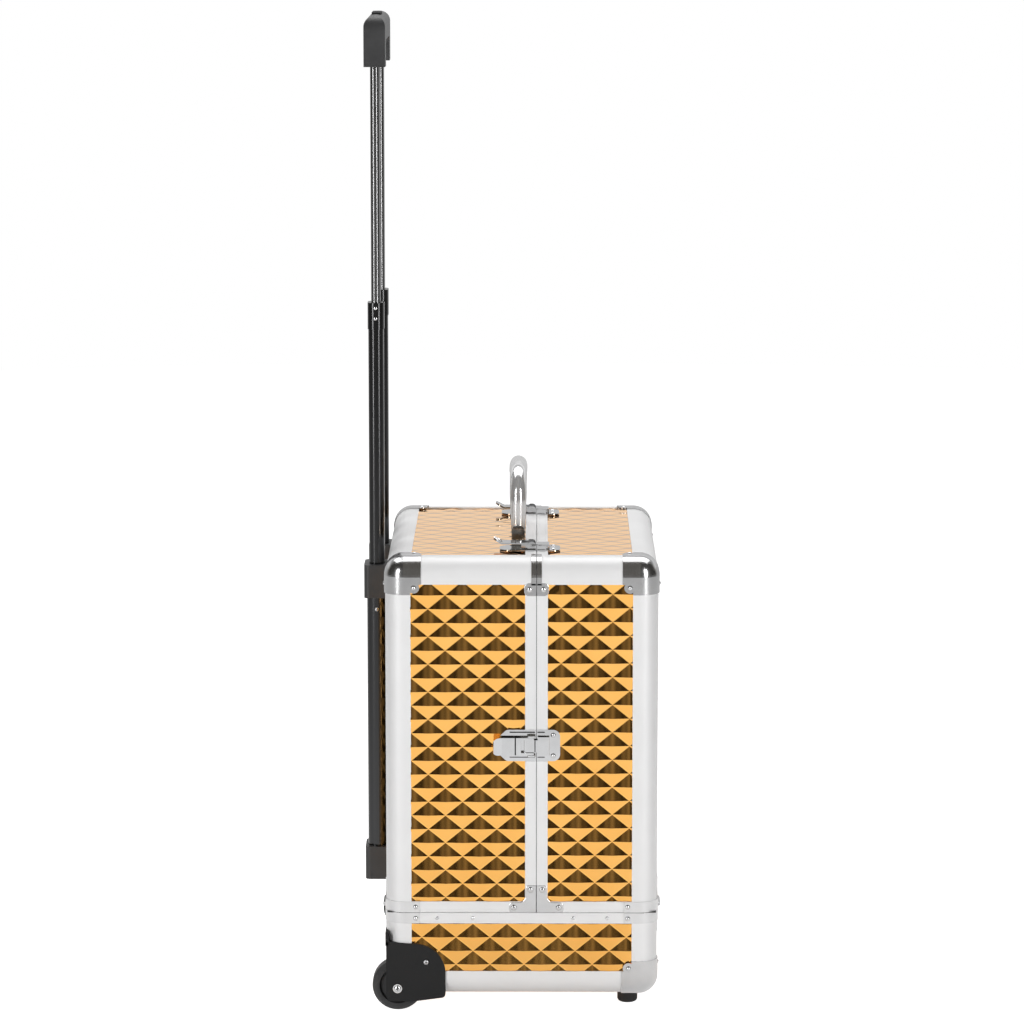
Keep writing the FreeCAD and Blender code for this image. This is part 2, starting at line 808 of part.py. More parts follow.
def tube_bracket(name, low, high, bore_across, bore_along):
    """A moulded bracket that holds the near outer tube against the case."""
    out = -(half_w + s.tube_bracket_x)
    half_y = s.tube_bracket_y / 2
    corners = [
        (out, -tube_y - half_y), (-half_w, -tube_y - half_y),
        (-half_w, half_y - tube_y), (out, half_y - tube_y),
    ]
    block = pad(name + "_block", "XY_Plane", corners, low, high, {0: BRACKET_ROUND, 3: BRACKET_ROUND})
    bore, rounds = section(bore_across, bore_along)
    return cut(name, block, pad(name + "_bore", "XY_Plane", bore, low, high, rounds))


mid_room_x = s.mid_tube_x + 2 * s.tube_slide_gap
mid_room_y = s.mid_tube_y + 2 * s.tube_slide_gap
inner_room_x = s.inner_tube_x + 2 * s.tube_slide_gap
inner_room_y = s.inner_tube_y + 2 * s.tube_slide_gap
bracket_top = s.outer_tube_high + s.tube_bracket_high
bracket_low = s.outer_tube_low - s.tube_bracket_high
node("telescope_outer_tubes", both(tube(
    "outer_tube", s.outer_tube_x, s.outer_tube_y, s.outer_tube_low, s.outer_tube_high)))
node(
    "telescope_brackets",
    both(tube_bracket("high_bracket", s.outer_tube_high, bracket_top, mid_room_x, mid_room_y)),
    both(tube_bracket("low_bracket", bracket_low, s.outer_tube_low, mid_room_x, mid_room_y)),
)


def collar():
    """The plastic collar on the near middle tube's mouth."""
    proud = 2 * s.collar_proud
    low = s.mid_tube_high
    corners, rounds = section(s.mid_tube_x + proud, s.mid_tube_y + proud)
    bore, bore_rounds = section(inner_room_x, inner_room_y)
    skin = pad("collar_skin", "XY_Plane", corners, low, low + s.collar_high, rounds)
    return cut("collar", skin, pad("collar_bore", "XY_Plane", bore, low, low + s.collar_high, bore_rounds))


mid_tube = tube("mid_tube", s.mid_tube_x, s.mid_tube_y, s.mid_tube_low, s.mid_tube_high)
node("telescope_mid_tubes", both(mid_tube), both(collar()))
grip_low = s.grip_top - s.grip_leg
node("telescope_inner_tubes", both(tube(
    "inner_tube", s.inner_tube_x, s.inner_tube_y, s.inner_tube_low, grip_low)))

# Grip: a bar over both tubes with its ends turned down, and a release button in its top
grip_half = tube_y + s.grip_leg_y / 2
grip_under = s.grip_top - s.grip_bar_high
leg_in = tube_y - s.grip_leg_y / 2
grip_points = [
    (-grip_half, grip_low), (-leg_in, grip_low), (-leg_in, grip_under), (leg_in, grip_under),
    (leg_in, grip_low), (grip_half, grip_low), (grip_half, s.grip_top), (-grip_half, s.grip_top),
]
GRIP_END_ROUND = 14.0
GRIP_PALM_ROUND = 8.0
grip_x = (tube_x - s.grip_width / 2, tube_x + s.grip_width / 2)
grip_body = pad(
    "grip_block", "YZ_Plane", grip_points, *grip_x,
    {2: GRIP_PALM_ROUND, 3: GRIP_PALM_ROUND, 6: GRIP_END_ROUND, 7: GRIP_END_ROUND})
dome = pad(
    "grip_dome", "XZ_Plane",
    [(grip_x[0], grip_low), (grip_x[1], grip_low), (grip_x[1], s.grip_top), (grip_x[0], s.grip_top)],
    -grip_half, grip_half, {corner: s.grip_width * GRIP_DOME_SHARE for corner in (2, 3)})
grip_form = doc.addObject("Part::Common", "grip_form")
grip_form.Base, grip_form.Tool = grip_body, dome
button_low = s.grip_top - s.button_travel - 2 * s.button_proud
button_gap = s.swing_clearance


def button_block(name, spare, low, high):
    """The release button's outline, grown by some spare room."""
    half_x, half_y = s.button_width / 2 + spare, s.button_length / 2 + spare
    rear, front = tube_x - half_x, tube_x + half_x
    points = [(rear, -half_y), (front, -half_y), (front, half_y), (rear, half_y)]
    return pad(name, "XY_Plane", points, low, high, {i: half_x * BUTTON_ROUND_SHARE for i in range(4)})


pocket_low = button_low - s.button_travel - button_gap
pocket = button_block("button_pocket", button_gap, pocket_low, s.grip_top + s.button_proud)
node("telescope_grip", cut("grip", grip_form, pocket))
node("grip_button", button_block("grip_button_cap", 0, button_low, s.grip_top + s.button_proud))

# Carry handle on the rear half's top
top_face = s.case_top - panel_out
pivot_z = top_face + s.carry_pivot_up
carry_half = s.carry_span / 2
carry_bar = s.carry_top - s.carry_grip_radius


def carry_handle():
    """A bail of round bar with a thicker barrel grip, bored for its pivots."""
    body = doc.addObject("PartDesign::Body", "carry_bail")
    spine = body.newObject("Sketcher::SketchObject", "carry_spine")
    plane = next(f for f in body.Origin.OriginFeatures if f.Role == "YZ_Plane")
    spine.AttachmentSupport = [(plane, "")]
    spine.MapMode = "FlatFace"
    low, high = pivot_z - s.carry_tail, carry_bar
    half, bend = carry_half, s.carry_bend
    spots = {
        "foot": (-half, low), "rise": (-half, high - bend), "turn": (bend - half, high),
        "back": (half - bend, high), "fall": (half, high - bend), "end": (half, low),
    }
    at = {key: V(Size.of(a).mm, Size.of(b).mm, 0) for key, (a, b) in spots.items()}
    lift = bend.mm * (1 - math.sqrt(0.5))
    knee = V(at["rise"].x + lift, at["turn"].y - lift, 0)
    knee_far = V(-knee.x, knee.y, 0)
    lines = [
        Part.LineSegment(at["foot"], at["rise"]), Part.Arc(at["rise"], knee, at["turn"]),
        Part.LineSegment(at["turn"], at["back"]), Part.Arc(at["back"], knee_far, at["fall"]),
        Part.LineSegment(at["fall"], at["end"]),
    ]
    for line in lines:
        spine.addGeometry(line, False)
    profile = body.newObject("Sketcher::SketchObject", "carry_section")
    base = next(f for f in body.Origin.OriginFeatures if f.Role == "XY_Plane")
    profile.AttachmentSupport = [(base, "")]
    profile.MapMode = "FlatFace"
    profile.setExpression("AttachmentOffset.Base.z", low.text)
    profile.addGeometry(Part.Circle(V(0, -half.mm, 0), V(0, 0, 1), s.carry_leg_radius.mm), False)
    tie = profile.addConstraint(Sketcher.Constraint("Radius", 0, s.carry_leg_radius.mm))
    profile.setExpression(f"Constraints[{tie}]", s.carry_leg_radius.text)
    pipe = body.newObject("PartDesign::AdditivePipe", "carry_pipe")
    pipe.Profile = profile
    pipe.Spine = spine
    body.Tip = pipe
    barrel = doc.addObject("PartDesign::Body", "carry_barrel")
    reach = half - bend
    full = reach * BARREL_SHARE
    points = [
        (-reach, 0), (reach, 0), (reach, s.carry_leg_radius), (full, s.carry_grip_radius),
        (-full, s.carry_grip_radius), (-reach, s.carry_leg_radius),
    ]
    outline = outline_sketch(barrel, "carry_barrel_outline", "YZ_Plane", points, 0)
    turn = barrel.newObject("PartDesign::Revolution", "carry_barrel_turn")
    turn.Profile = outline
    turn.ReferenceAxis = (outline, ["H_Axis"])
    turn.Angle = 360
    barrel.Tip = turn
    move(barrel, 0, 0, carry_bar)
    eye = cylinder(
        "carry_eye", s.carry_pivot_radius + s.running_clearance, 2 * half + 4 * s.carry_leg_radius,
        (0, -half - 2 * s.carry_leg_radius, pivot_z), "y")
    wide, narrow, waist = s.carry_grip_radius, s.carry_foot_half, pivot_z + s.carry_taper
    face = [
        (-narrow, low), (narrow, low), (wide, waist), (wide, s.carry_top),
        (-wide, s.carry_top), (-wide, waist),
    ]
    span_y = half + 2 * s.carry_leg_radius
    tapered = doc.addObject("Part::Common", "carry_tapered")
    tapered.Base = fuse("carry_whole", body, barrel)
    tapered.Tool = pad("carry_face", "XZ_Plane", face, -span_y, span_y)
    handle = cut("carry_bored", tapered, eye)
    move(handle, s.carry_offset, 0, 0)
    return handle


node("carry_handle", carry_handle())


def carry_mount():
    """The near ear of the carry handle with its pivot stub."""
    x, half_x = s.carry_offset, s.carry_mount_x / 2
    leg_out = -carry_half - s.carry_leg_radius
    ear_in = leg_out - s.swing_clearance
    ear_out = ear_in - s.carry_ear
    plate = box(
        "carry_plate", (x - half_x, ear_out, top_face),
        (x + half_x, s.carry_leg_radius - carry_half, top_face + s.carry_mount_plate))
    ear_round = half_x * EAR_ROUND_SHARE
    top = pivot_z + ear_round
    points = [(x - half_x, top_face), (x + half_x, top_face), (x + half_x, top), (x - half_x, top)]
    ear = pad("carry_ear", "XZ_Plane", points, ear_out, ear_in, {2: ear_round, 3: ear_round})
    stub = cylinder(
        "carry_stub", s.carry_pivot_radius, s.carry_leg_radius * 2 + s.swing_clearance,
        (x, ear_in, pivot_z), "y")
    return fuse("carry_mount", plate, ear, stub)


node("carry_handle_mounts", both(carry_mount()))


# Draw latches: a base plate and lever on the rear half, a catch on the front half
class LatchSite:
    """Turns a latch's own distances (along from the seam, out from the frame) into the case's frame."""

    def __init__(self, word, on_top):
        self.word = word
        self.on_top = on_top
        self.middle = s.latch_top_inset - half_d if on_top else s.latch_height
        self.side_plane = "XZ_Plane" if on_top else "XY_Plane"
        self.face_plane = "XY_Plane" if on_top else "XZ_Plane"
        self.axis = "y" if on_top else "z"

    def side(self, along, out):
        """A point of the latch's side view."""
        level = s.case_top + out if self.on_top else -half_d - out
        return s.seam_offset + along, level

    def slab(self, name, points, low, high, rounds=None):
        """A piece drawn in side view, between two places across the latch."""
        outline = [self.side(*point) for point in points]
        return pad(name, self.side_plane, outline, self.middle + low, self.middle + high, rounds)

    def sheet(self, name, points, low, high, rounds=None):
        """A piece drawn in face view, between two distances out from the frame."""
        outline = [(s.seam_offset + along, self.middle + across) for along, across in points]
        if self.on_top:
            return pad(name, self.face_plane, outline, s.case_top + low, s.case_top + high, rounds)
        return pad(name, self.face_plane, outline, -half_d - high, -half_d - low, rounds)

    def rod(self, name, radius, along, out, low, high):
        """A round pin across the latch."""
        first, level = self.side(along, out)
        place = (first, self.middle + low, level) if self.on_top else (first, level, self.middle + low)
        return cylinder(name, radius, high - low, place, self.axis)

    def stud(self, name, along, across, out):
        """A rivet head facing out."""
        first, level = self.side(along, out)
        if self.on_top:
            return rivet(name, (first, self.middle + across, level), "+z")
        return rivet(name, (first, level, self.middle + across), "-y")


half_lever = s.lever_width / 2
ear_in = half_lever + s.swing_clearance
ear_out = ear_in + s.latch_ear
fork_in = half_lever - s.lever_fork
hook_half = fork_in - s.swing_clearance
pivot_u, pivot_w = -s.latch_pivot_back, s.latch_pivot_out
hook_u = pivot_u - s.hook_pin_back
hook_low = s.catch_lip + s.swing_clearance
hook_high = hook_low + s.hook_wall
hook_w = hook_low + s.hook_wall / 2
lever_low = hook_high + s.swing_clearance
lever_high = lever_low + s.lever_wall
fork_reach = s.lever_fork_reach
hook_head = s.hook_head_width / 2


def latch_base(site):
    """The riveted base plate, narrowed at its rear end, with its two ears."""
    name = site.word + "_base"
    half, nose = s.latch_width / 2, s.latch_nose / 2
    front, rear, shoulder = -half_gap, -s.latch_back, s.latch_taper - s.latch_back
    outline = [
        (rear, -nose), (shoulder, -half), (front, -half), (front, half), (shoulder, half), (rear, nose),
    ]
    rounds = {corner: s.latch_round for corner in (0, 1, 4, 5)}
    plate = site.sheet(name + "_plate", outline, 0, s.latch_plate, rounds)
    reach, top = s.latch_ear_half, pivot_w + s.latch_ear_round
    ear = [(pivot_u - reach, 0), (pivot_u + reach, 0), (pivot_u + reach, top), (pivot_u - reach, top)]
    ear_rounds = {2: s.latch_ear_round, 3: s.latch_ear_round}
    ears = [
        site.slab(name + "_ear_low", ear, -ear_out, -ear_in, ear_rounds),
        site.slab(name + "_ear_high", ear, ear_in, ear_out, ear_rounds),
    ]
    hole = site.rod(
        name + "_hole", s.latch_pin_radius + s.running_clearance, pivot_u, pivot_w, -2 * ear_out, 2 * ear_out)
    return cut(name, fuse(name + "_whole", plate, *ears), hole)


def latch_lever(site):
    """The lever: a finger plate with a turned-up round end, on a fork whose studs turn in the ears."""
    name = site.word + "_lever"
    tip, lip, wall, rise = -s.lever_length, s.lever_lip, s.lever_wall, s.lever_lip_rise
    neck, end = hook_u - s.lever_neck, tip - lip
    side_view = [
        (neck, lever_low), (neck, lever_high), (tip, lever_high), (end, lever_high + rise),
        (end - wall / 2, lever_high + rise - wall), (tip - wall / 2, lever_low),
    ]
    face_view = [(end - wall, -half_lever), (neck, -half_lever), (neck, half_lever), (end - wall, half_lever)]
    plate = doc.addObject("Part::Common", name + "_plate")
    plate.Base = site.slab(name + "_side", side_view, -half_lever, half_lever)
    plate.Tool = site.sheet(
        name + "_face", face_view, 0, lever_high + 2 * rise, {0: s.lever_round, 3: s.lever_round})
    arm = [(neck, pivot_w - fork_reach), (pivot_u + fork_reach, pivot_w - fork_reach),
           (pivot_u + fork_reach, lever_high), (neck, lever_high)]
    pieces = [plate]
    for tag, low, high in (("low", -half_lever, -fork_in), ("high", fork_in, half_lever)):
        pieces.append(site.slab(f"{name}_fork_{tag}", arm, low, high))
    for tag, low, high in (("low", -ear_out, -fork_in), ("high", fork_in, ear_out)):
        pieces.append(site.rod(f"{name}_stud_{tag}", s.latch_pin_radius, pivot_u, pivot_w, low, high))
    hole = site.rod(
        name + "_hole", s.hook_pin_radius + s.running_clearance, hook_u, hook_w, -half_lever, half_lever)
    start, floor = -s.lever_groove - s.groove_width, lever_high - s.groove_depth
    stop, over = -s.lever_groove, lever_high + rise
    ditch = [(start, floor), (stop, floor), (stop, over), (start, over)]
    groove = site.slab(name + "_groove", ditch, -half_lever, half_lever)
    return cut(name, fuse(name + "_whole", *pieces), hole, groove)


def latch_hook(site):
    """The hook: a tongue on a cross pin in the fork, its broad head turned down behind the catch's lip."""
    name = site.word + "_hook"
    tip = s.catch_start + s.hook_wall + s.swing_clearance
    turned_low = s.latch_plate + s.swing_clearance
    start = s.hook_head_start
    tongue = [(hook_u, hook_low), (start, hook_low), (start, hook_high), (hook_u, hook_high)]
    head = [
        (start, hook_low), (tip, hook_low), (tip, turned_low), (tip + s.hook_wall, turned_low),
        (tip + s.hook_wall, hook_high), (start, hook_high),
    ]
    return fuse(
        name,
        site.slab(name + "_tongue", tongue, -hook_half, hook_half),
        site.slab(name + "_head", head, -hook_head, hook_head, {4: s.hook_wall * HOOK_BEND_SHARE}),
        site.rod(name + "_pin", s.hook_pin_radius, hook_u, hook_w, -half_lever, half_lever),
    )


def latch_catch(site):
    """The catch plate, round at its front corners, with an upturned lip."""
    name = site.word + "_catch"
    half, start, wall = s.latch_width / 2, s.catch_start, s.hook_wall
    outline = [(half_gap, -half), (s.catch_end, -half), (s.catch_end, half), (half_gap, half)]
    plate = site.sheet(name + "_plate", outline, 0, s.latch_plate, {1: s.catch_round, 2: s.catch_round})
    lip = [(start, 0), (start + wall, 0), (start + wall, s.catch_lip), (start, s.catch_lip)]
    return fuse(name, plate, site.slab(name + "_lip", lip, -hook_head, hook_head))


top_latch = LatchSite("top_latch", True)
end_latch = LatchSite("end_latch", False)
latch_bases = [both(latch_base(site)) for site in (top_latch, end_latch)]
node("latch_base_plates", *latch_bases)
node("latch_catch_plates", *[both(latch_catch(site)) for site in (top_latch, end_latch)])
for site in (top_latch, end_latch):
    for kind, maker in (("lever", latch_lever), ("hook", latch_hook)):
        near_piece = maker(site)
        node(f"{site.word}_{kind}_near", near_piece)
        node(f"{site.word}_{kind}_far", mirror(near_piece))

# Trays and the arms that keep them level
tray_end = half_d - rail_depth - 2 * s.swing_clearance - s.arm_wall - s.tray_end_gap
arm_out = half_d - rail_depth - s.swing_clearance
arm_in = arm_out - s.arm_wall
pivot_x = half_w - panel_in - s.tray_pivot_in
link_x = hinge_x - s.arm_offset
link_z = s.parting_height - s.arm_drop
TRAY_ROUND = 6.0


def tray_levels():
    """Heights of the two tray pivots."""
    lower = s.parting_height + s.tray_lower
    return lower, lower + s.tray_pitch


def tray(label, side, pivot_level):
    """An open tray with pivot holes in its end walls."""
    outer = side * (half_w - panel_in - s.tray_wall_gap)
    inner = s.seam_offset + side * (half_gap + s.tray_seam_gap)
    x = span(side, inner, outer)
    low = pivot_level - s.tray_pivot_up
    high = low + s.tray_high
    wall = s.tray_wall

    def form(tag, grow, bottom, top):
        points = [
            (x[0] + grow, grow - tray_end), (x[1] - grow, grow - tray_end),
            (x[1] - grow, tray_end - grow), (x[0] + grow, tray_end - grow),
        ]
        radius = TRAY_ROUND - Size.of(grow)
        return pad(label + tag, "XY_Plane", points, bottom, top, {i: radius for i in range(4)})

    skin = form("_skin", Size.of(0), low, high)
    room = form("_room", wall, low + s.tray_floor, high)
    turn_x, turn_z = side * pivot_x, pivot_level
    arm_x, arm_z = side * (pivot_x - s.arm_offset), pivot_level - s.arm_drop
    holes = [
        cylinder(f"{label}_{tag}_hole", s.pivot_radius + spare, 2 * half_d, (x_at, -half_d, z_at), "y")
        for tag, spare, x_at, z_at in (
            ("pivot", s.running_clearance, turn_x, turn_z), ("link", s.swing_clearance, arm_x, arm_z))
    ]
    node(label, cut(label + "_cut", skin, room, *holes))


def tray_pins(word, side):
    """The bosses and pins inside the shell's ends that carry the trays."""
    pins = []
    boss = half_d - panel_in - arm_out - s.swing_clearance
    length = half_d - panel_in - tray_end + s.tray_wall
    for tag, level in zip(("low", "high"), tray_levels()):
        place = (side * pivot_x, panel_in - half_d, level)
        pin = cylinder(f"{word}_tray_pin_{tag}", s.pivot_radius, length, place, "y")
        plate = cylinder(f"{word}_tray_boss_{tag}", s.arm_width * TRAY_BOSS_SHARE, boss, place, "y")
        pins += both(fuse(f"{word}_tray_pivot_{tag}", pin, plate))
    node(word + "_tray_pivots", *pins)


def tray_arms(word, side):
    """The two arms of one side: a bent strip from the base pin past both trays, with a stud for each."""
    low, high = tray_levels()
    half = s.arm_width / 2
    knee_x, knee_z = pivot_x - s.arm_offset, low - s.arm_drop
    top_z = high - s.arm_drop + half
    points = [
        (side * (link_x + half), link_z - half), (side * (link_x - half), link_z - half),
        (side * (knee_x - half), knee_z), (side * (knee_x - half), top_z),
        (side * (knee_x + half), top_z), (side * (knee_x + half), knee_z),
    ]
    ends = {corner: half * ARM_ROUND_SHARE for corner in (0, 1, 3, 4)}
    strip = pad(f"{word}_arm_strip", "XZ_Plane", points, -arm_out, -arm_in, ends)
    reach = arm_in - tray_end + s.tray_wall
    studs = [
        cylinder(
            f"{word}_arm_stud_{tag}", s.pivot_radius, reach, (side * knee_x, -arm_in, level - s.arm_drop), "y")
        for tag, level in (("low", low), ("high", high))
    ]
    hole = cylinder(
        f"{word}_arm_hole", s.pivot_radius + s.running_clearance, s.arm_wall,
        (side * link_x, -arm_out, link_z), "y")
    node(word + "_tray_arms", both(cut(f"{word}_arm", fuse(f"{word}_arm_whole", strip, *studs), hole)))


def arm_pin(word, side):
    """The near pin on the base's top rail that an arm turns on."""
    place = (side * link_x, rail_depth - half_d, link_z)
    return cylinder(f"{word}_arm_pin", s.pivot_radius, half_d - rail_depth - arm_in, place, "y")


for word, side in (("rear", REAR), ("front", FRONT)):
    for tag, level in zip(("lower", "upper"), tray_levels()):
        tray(f"{word}_{tag}_tray", side, level)
    tray_pins(word, side)
    tray_arms(word, side)
node(
    "base_pivot_pins",
    both(hinge_pin("rear_pin", REAR)), both(hinge_pin("front_pin", FRONT)),
    both(arm_pin("rear", REAR)), both(arm_pin("front", FRONT)),
)


# Rivets
def shell_rivets(word, side):
    """Rivets on one half's covers and flat rails."""
    skin = s.cover_gap + s.bracket_wall
    heads = []
    for piece in tab_rivets(word + "_tab_rivet", side, s.case_top, 1):
        heads += both(piece)
    along = side * (half_w - s.rail_leg - s.bracket_length / 2)
    level = shell_low + s.flat_width / 2
    heads += both(rivet(word + "_bracket_rivet", (along, -half_d - skin, level), "-y"))
    return heads


catch_rivets = [
    head
    for site in (top_latch, end_latch)
    for tag, across in (("low", -s.catch_rivet_out), ("high", s.catch_rivet_out))
    for head in both(site.stud(
        f"{site.word}_rivet_{tag}", (s.catch_start + s.catch_end) / 2, across, s.latch_plate))
]
node("rear_rivets", *shell_rivets("rear", REAR))
node("front_rivets", *shell_rivets("front", FRONT), *catch_rivets)


def base_rivets():
    """Rivets on the base's brackets, top rails and front corner covers."""
    skin = s.cover_gap + s.bracket_wall
    level = base_high - s.flat_width / 2
    heads = []
    for piece in tab_rivets("base_tab_rivet", FRONT, s.case_bottom, -1):
        heads += both(piece)
    for word, side in (("rear", REAR), ("front", FRONT)):
        along = side * (half_w - s.rail_leg - s.bracket_length / 2)
        heads += both(rivet(f"base_{word}_rivet", (along, -half_d - skin, level), "-y"))
    return heads


node("base_rivets", *base_rivets())

doc.recompute()
bad = [obj.Label for obj in doc.Objects if {"Invalid", "Error"} & set(obj.State)]
if bad:
    raise RuntimeError("failed features: " + ", ".join(bad))
os.makedirs("parts", exist_ok=True)
for obj in nodes:
    if obj.Shape.isNull() or not obj.Shape.isValid():
        raise RuntimeError("bad shape: " + obj.Label)
for obj in nodes:
    obj.Shape.exportStep(f"parts/{obj.Label}.step")
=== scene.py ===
"""Looks of a wheeled make-up case: embossed gold film, satin aluminium, chrome and black fittings.

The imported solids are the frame. Each class below dresses one sub-assembly or adds the pieces that
are too thin or too fine for the solids, in metres and in the solids' own frame.
"""

import json
import logging
import math
from dataclasses import dataclass, field
from enum import Enum

import bmesh
import bpy
from mathutils import Matrix, Vector


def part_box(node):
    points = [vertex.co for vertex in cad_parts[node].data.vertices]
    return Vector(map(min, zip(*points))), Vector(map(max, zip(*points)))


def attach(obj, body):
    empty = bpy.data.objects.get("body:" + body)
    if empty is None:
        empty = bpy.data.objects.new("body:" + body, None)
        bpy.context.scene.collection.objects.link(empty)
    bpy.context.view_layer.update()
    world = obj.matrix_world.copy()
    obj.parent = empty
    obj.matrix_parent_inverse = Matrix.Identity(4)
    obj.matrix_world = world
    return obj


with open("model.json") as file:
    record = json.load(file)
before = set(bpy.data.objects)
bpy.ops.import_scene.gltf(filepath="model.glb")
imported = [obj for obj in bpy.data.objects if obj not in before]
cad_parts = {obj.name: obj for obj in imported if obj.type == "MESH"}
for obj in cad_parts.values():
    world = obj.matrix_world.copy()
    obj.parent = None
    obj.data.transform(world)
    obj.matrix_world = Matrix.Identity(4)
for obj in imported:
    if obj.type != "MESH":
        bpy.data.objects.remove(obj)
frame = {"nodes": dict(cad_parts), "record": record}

LOG = logging.getLogger("make_up_case")
MM = 0.001
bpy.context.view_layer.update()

WELD = 1e-6
CUT = 1e-7

Span = tuple[float, float]
Point = tuple[float, float, float]
Tone = tuple[float, float, float]
Value = float | tuple[float, ...] | bpy.types.NodeSocket


@dataclass(frozen=True)
class Tree:
    """A shader's node tree, with short ways to add to it."""

    tree: bpy.types.NodeTree

    def feed(self, node: bpy.types.Node, inputs: dict[str | int, Value]) -> None:
        """Set or link a node's sockets.

        Args:
            node: The node that is fed.
            inputs: A value or another node's socket, by the name or place of the socket that it goes to.
        """
        for key, value in inputs.items():
            if isinstance(value, bpy.types.NodeSocket):
                self.tree.links.new(value, node.inputs[key])
            else:
                node.inputs[key].default_value = value

    def add(self, kind: str, inputs: dict[str | int, Value] | None = None) -> bpy.types.Node:
        """Add a node.

        Args:
            kind: The node's kind, without the words that all shader nodes start with.
            inputs: What goes into its sockets.

        Returns:
            The new node.
        """
        node = self.tree.nodes.new(f"ShaderNode{kind}")
        self.feed(node, inputs or {})
        return node

    def noise(self, place: bpy.types.NodeSocket, scale: float, detail: float) -> bpy.types.NodeSocket:
        """Cloudy noise.

        Args:
            place: The socket that holds the place on the surface.
            scale: How fine the noise is.
            detail: How many finer layers it has.

        Returns:
            The noise's socket.
        """
        return self.add("TexNoise", {"Vector": place, "Scale": scale, "Detail": detail}).outputs["Fac"]

    def ramp(
        self, factor: bpy.types.NodeSocket, low: Tone, high: Tone, ends: Span = (0.0, 1.0)
    ) -> bpy.types.NodeSocket:
        """A blend from one tone to another.

        Args:
            factor: What drives the blend.
            low: The first tone.
            high: The last tone.
            ends: Where the blend starts and ends.

        Returns:
            The colour's socket.
        """
        node = self.add("ValToRGB", {"Fac": factor})
        for stop, place, tone in zip(node.color_ramp.elements, ends, (low, high)):
            stop.position = place
            stop.color = (*tone, 1.0)
        return node.outputs["Color"]

    def math(self, operation: str, first: Value, second: Value = 0.0) -> bpy.types.NodeSocket:
        """A sum of one or two sockets or numbers.

        Args:
            operation: What is done with them.
            first: The first socket or number.
            second: The second socket or number.

        Returns:
            The result's socket.
        """
        node = self.add("Math")
        node.operation = operation
        self.feed(node, {0: first, 1: second})
        return node.outputs["Value"]

    def step(
        self, value: bpy.types.NodeSocket, span: Span, result: Span, kind: str = "SMOOTHSTEP"
    ) -> bpy.types.NodeSocket:
        """A step from one level to another.

        Args:
            value: What is stepped.
            span: Where the step starts and ends.
            result: The levels before and after the step.
            kind: How the step runs between them.

        Returns:
            The result's socket.
        """
        node = self.add("MapRange")
        node.interpolation_type = kind
        levels = zip(("From Min", "From Max", "To Min", "To Max"), (*span, *result))
        self.feed(node, {"Value": value, **dict(levels)})
        return node.outputs["Result"]


@dataclass(frozen=True)
class Finish:
    """A surface finish: two close tones, a roughness range and a fine grain, all in object space."""

    name: str
    tone: Tone
    shade: Tone
    metallic: float = 0.0
    roughness: Span = (0.4, 0.5)
    patch_scale: float = 40.0
    patch_detail: float = 4.0
    patch_ends: Span = (0.3, 0.7)
    grain_scale: float = 900.0
    grain_detail: float = 2.0
    grain_deep: float = 0.2 * MM
    grain: float = 0.05
    stretch: Point = (1.0, 1.0, 1.0)
    coat: float = 0.0
    sheen: float = 0.0

    def material(self) -> bpy.types.Material:
        """Make the finish's material, or return the one already made.

        Returns:
            The material of this finish.
        """
        made = bpy.data.materials.get(self.name)
        if made is not None:
            return made
        made = bpy.data.materials.new(self.name)
        made.use_nodes = True
        tree, shader = Tree(made.node_tree), made.node_tree.nodes["Principled BSDF"]
        place = tree.add("TexCoord").outputs["Object"]
        lay = tree.add("Mapping", {"Vector": place, "Scale": self.stretch}).outputs["Vector"]
        patch = tree.noise(lay, self.patch_scale, self.patch_detail)
        look = {
            "Base Color": tree.ramp(patch, self.shade, self.tone, self.patch_ends),
            "Roughness": tree.step(patch, (0.0, 1.0), self.roughness, "LINEAR"),
            "Metallic": self.metallic,
            "Coat Weight": self.coat,
            "Sheen Weight": self.sheen,
        }
        if self.grain > 0:
            fine = tree.noise(lay, self.grain_scale, self.grain_detail)
            raised = {"Strength": self.grain, "Distance": self.grain_deep, "Height": fine}
            look["Normal"] = tree.add("Bump", raised).outputs["Normal"]
        tree.feed(shader, look)
        return made


@dataclass(frozen=True)
class Plating(Finish):
    """A plated finish, with small patches and hardly any grain."""

    metallic: float = 1.0
    patch_scale: float = 60.0
    grain_scale: float = 240.0
    grain: float = 0.02


@dataclass(frozen=True)
class TubeCoat(Finish):
    """A dark bright coat on drawn tube, with patches drawn out along the tube and no grain."""

    metallic: float = 1.0
    patch_scale: float = 30.0
    stretch: Point = (1.0, 1.0, 0.1)
    grain: float = 0.0


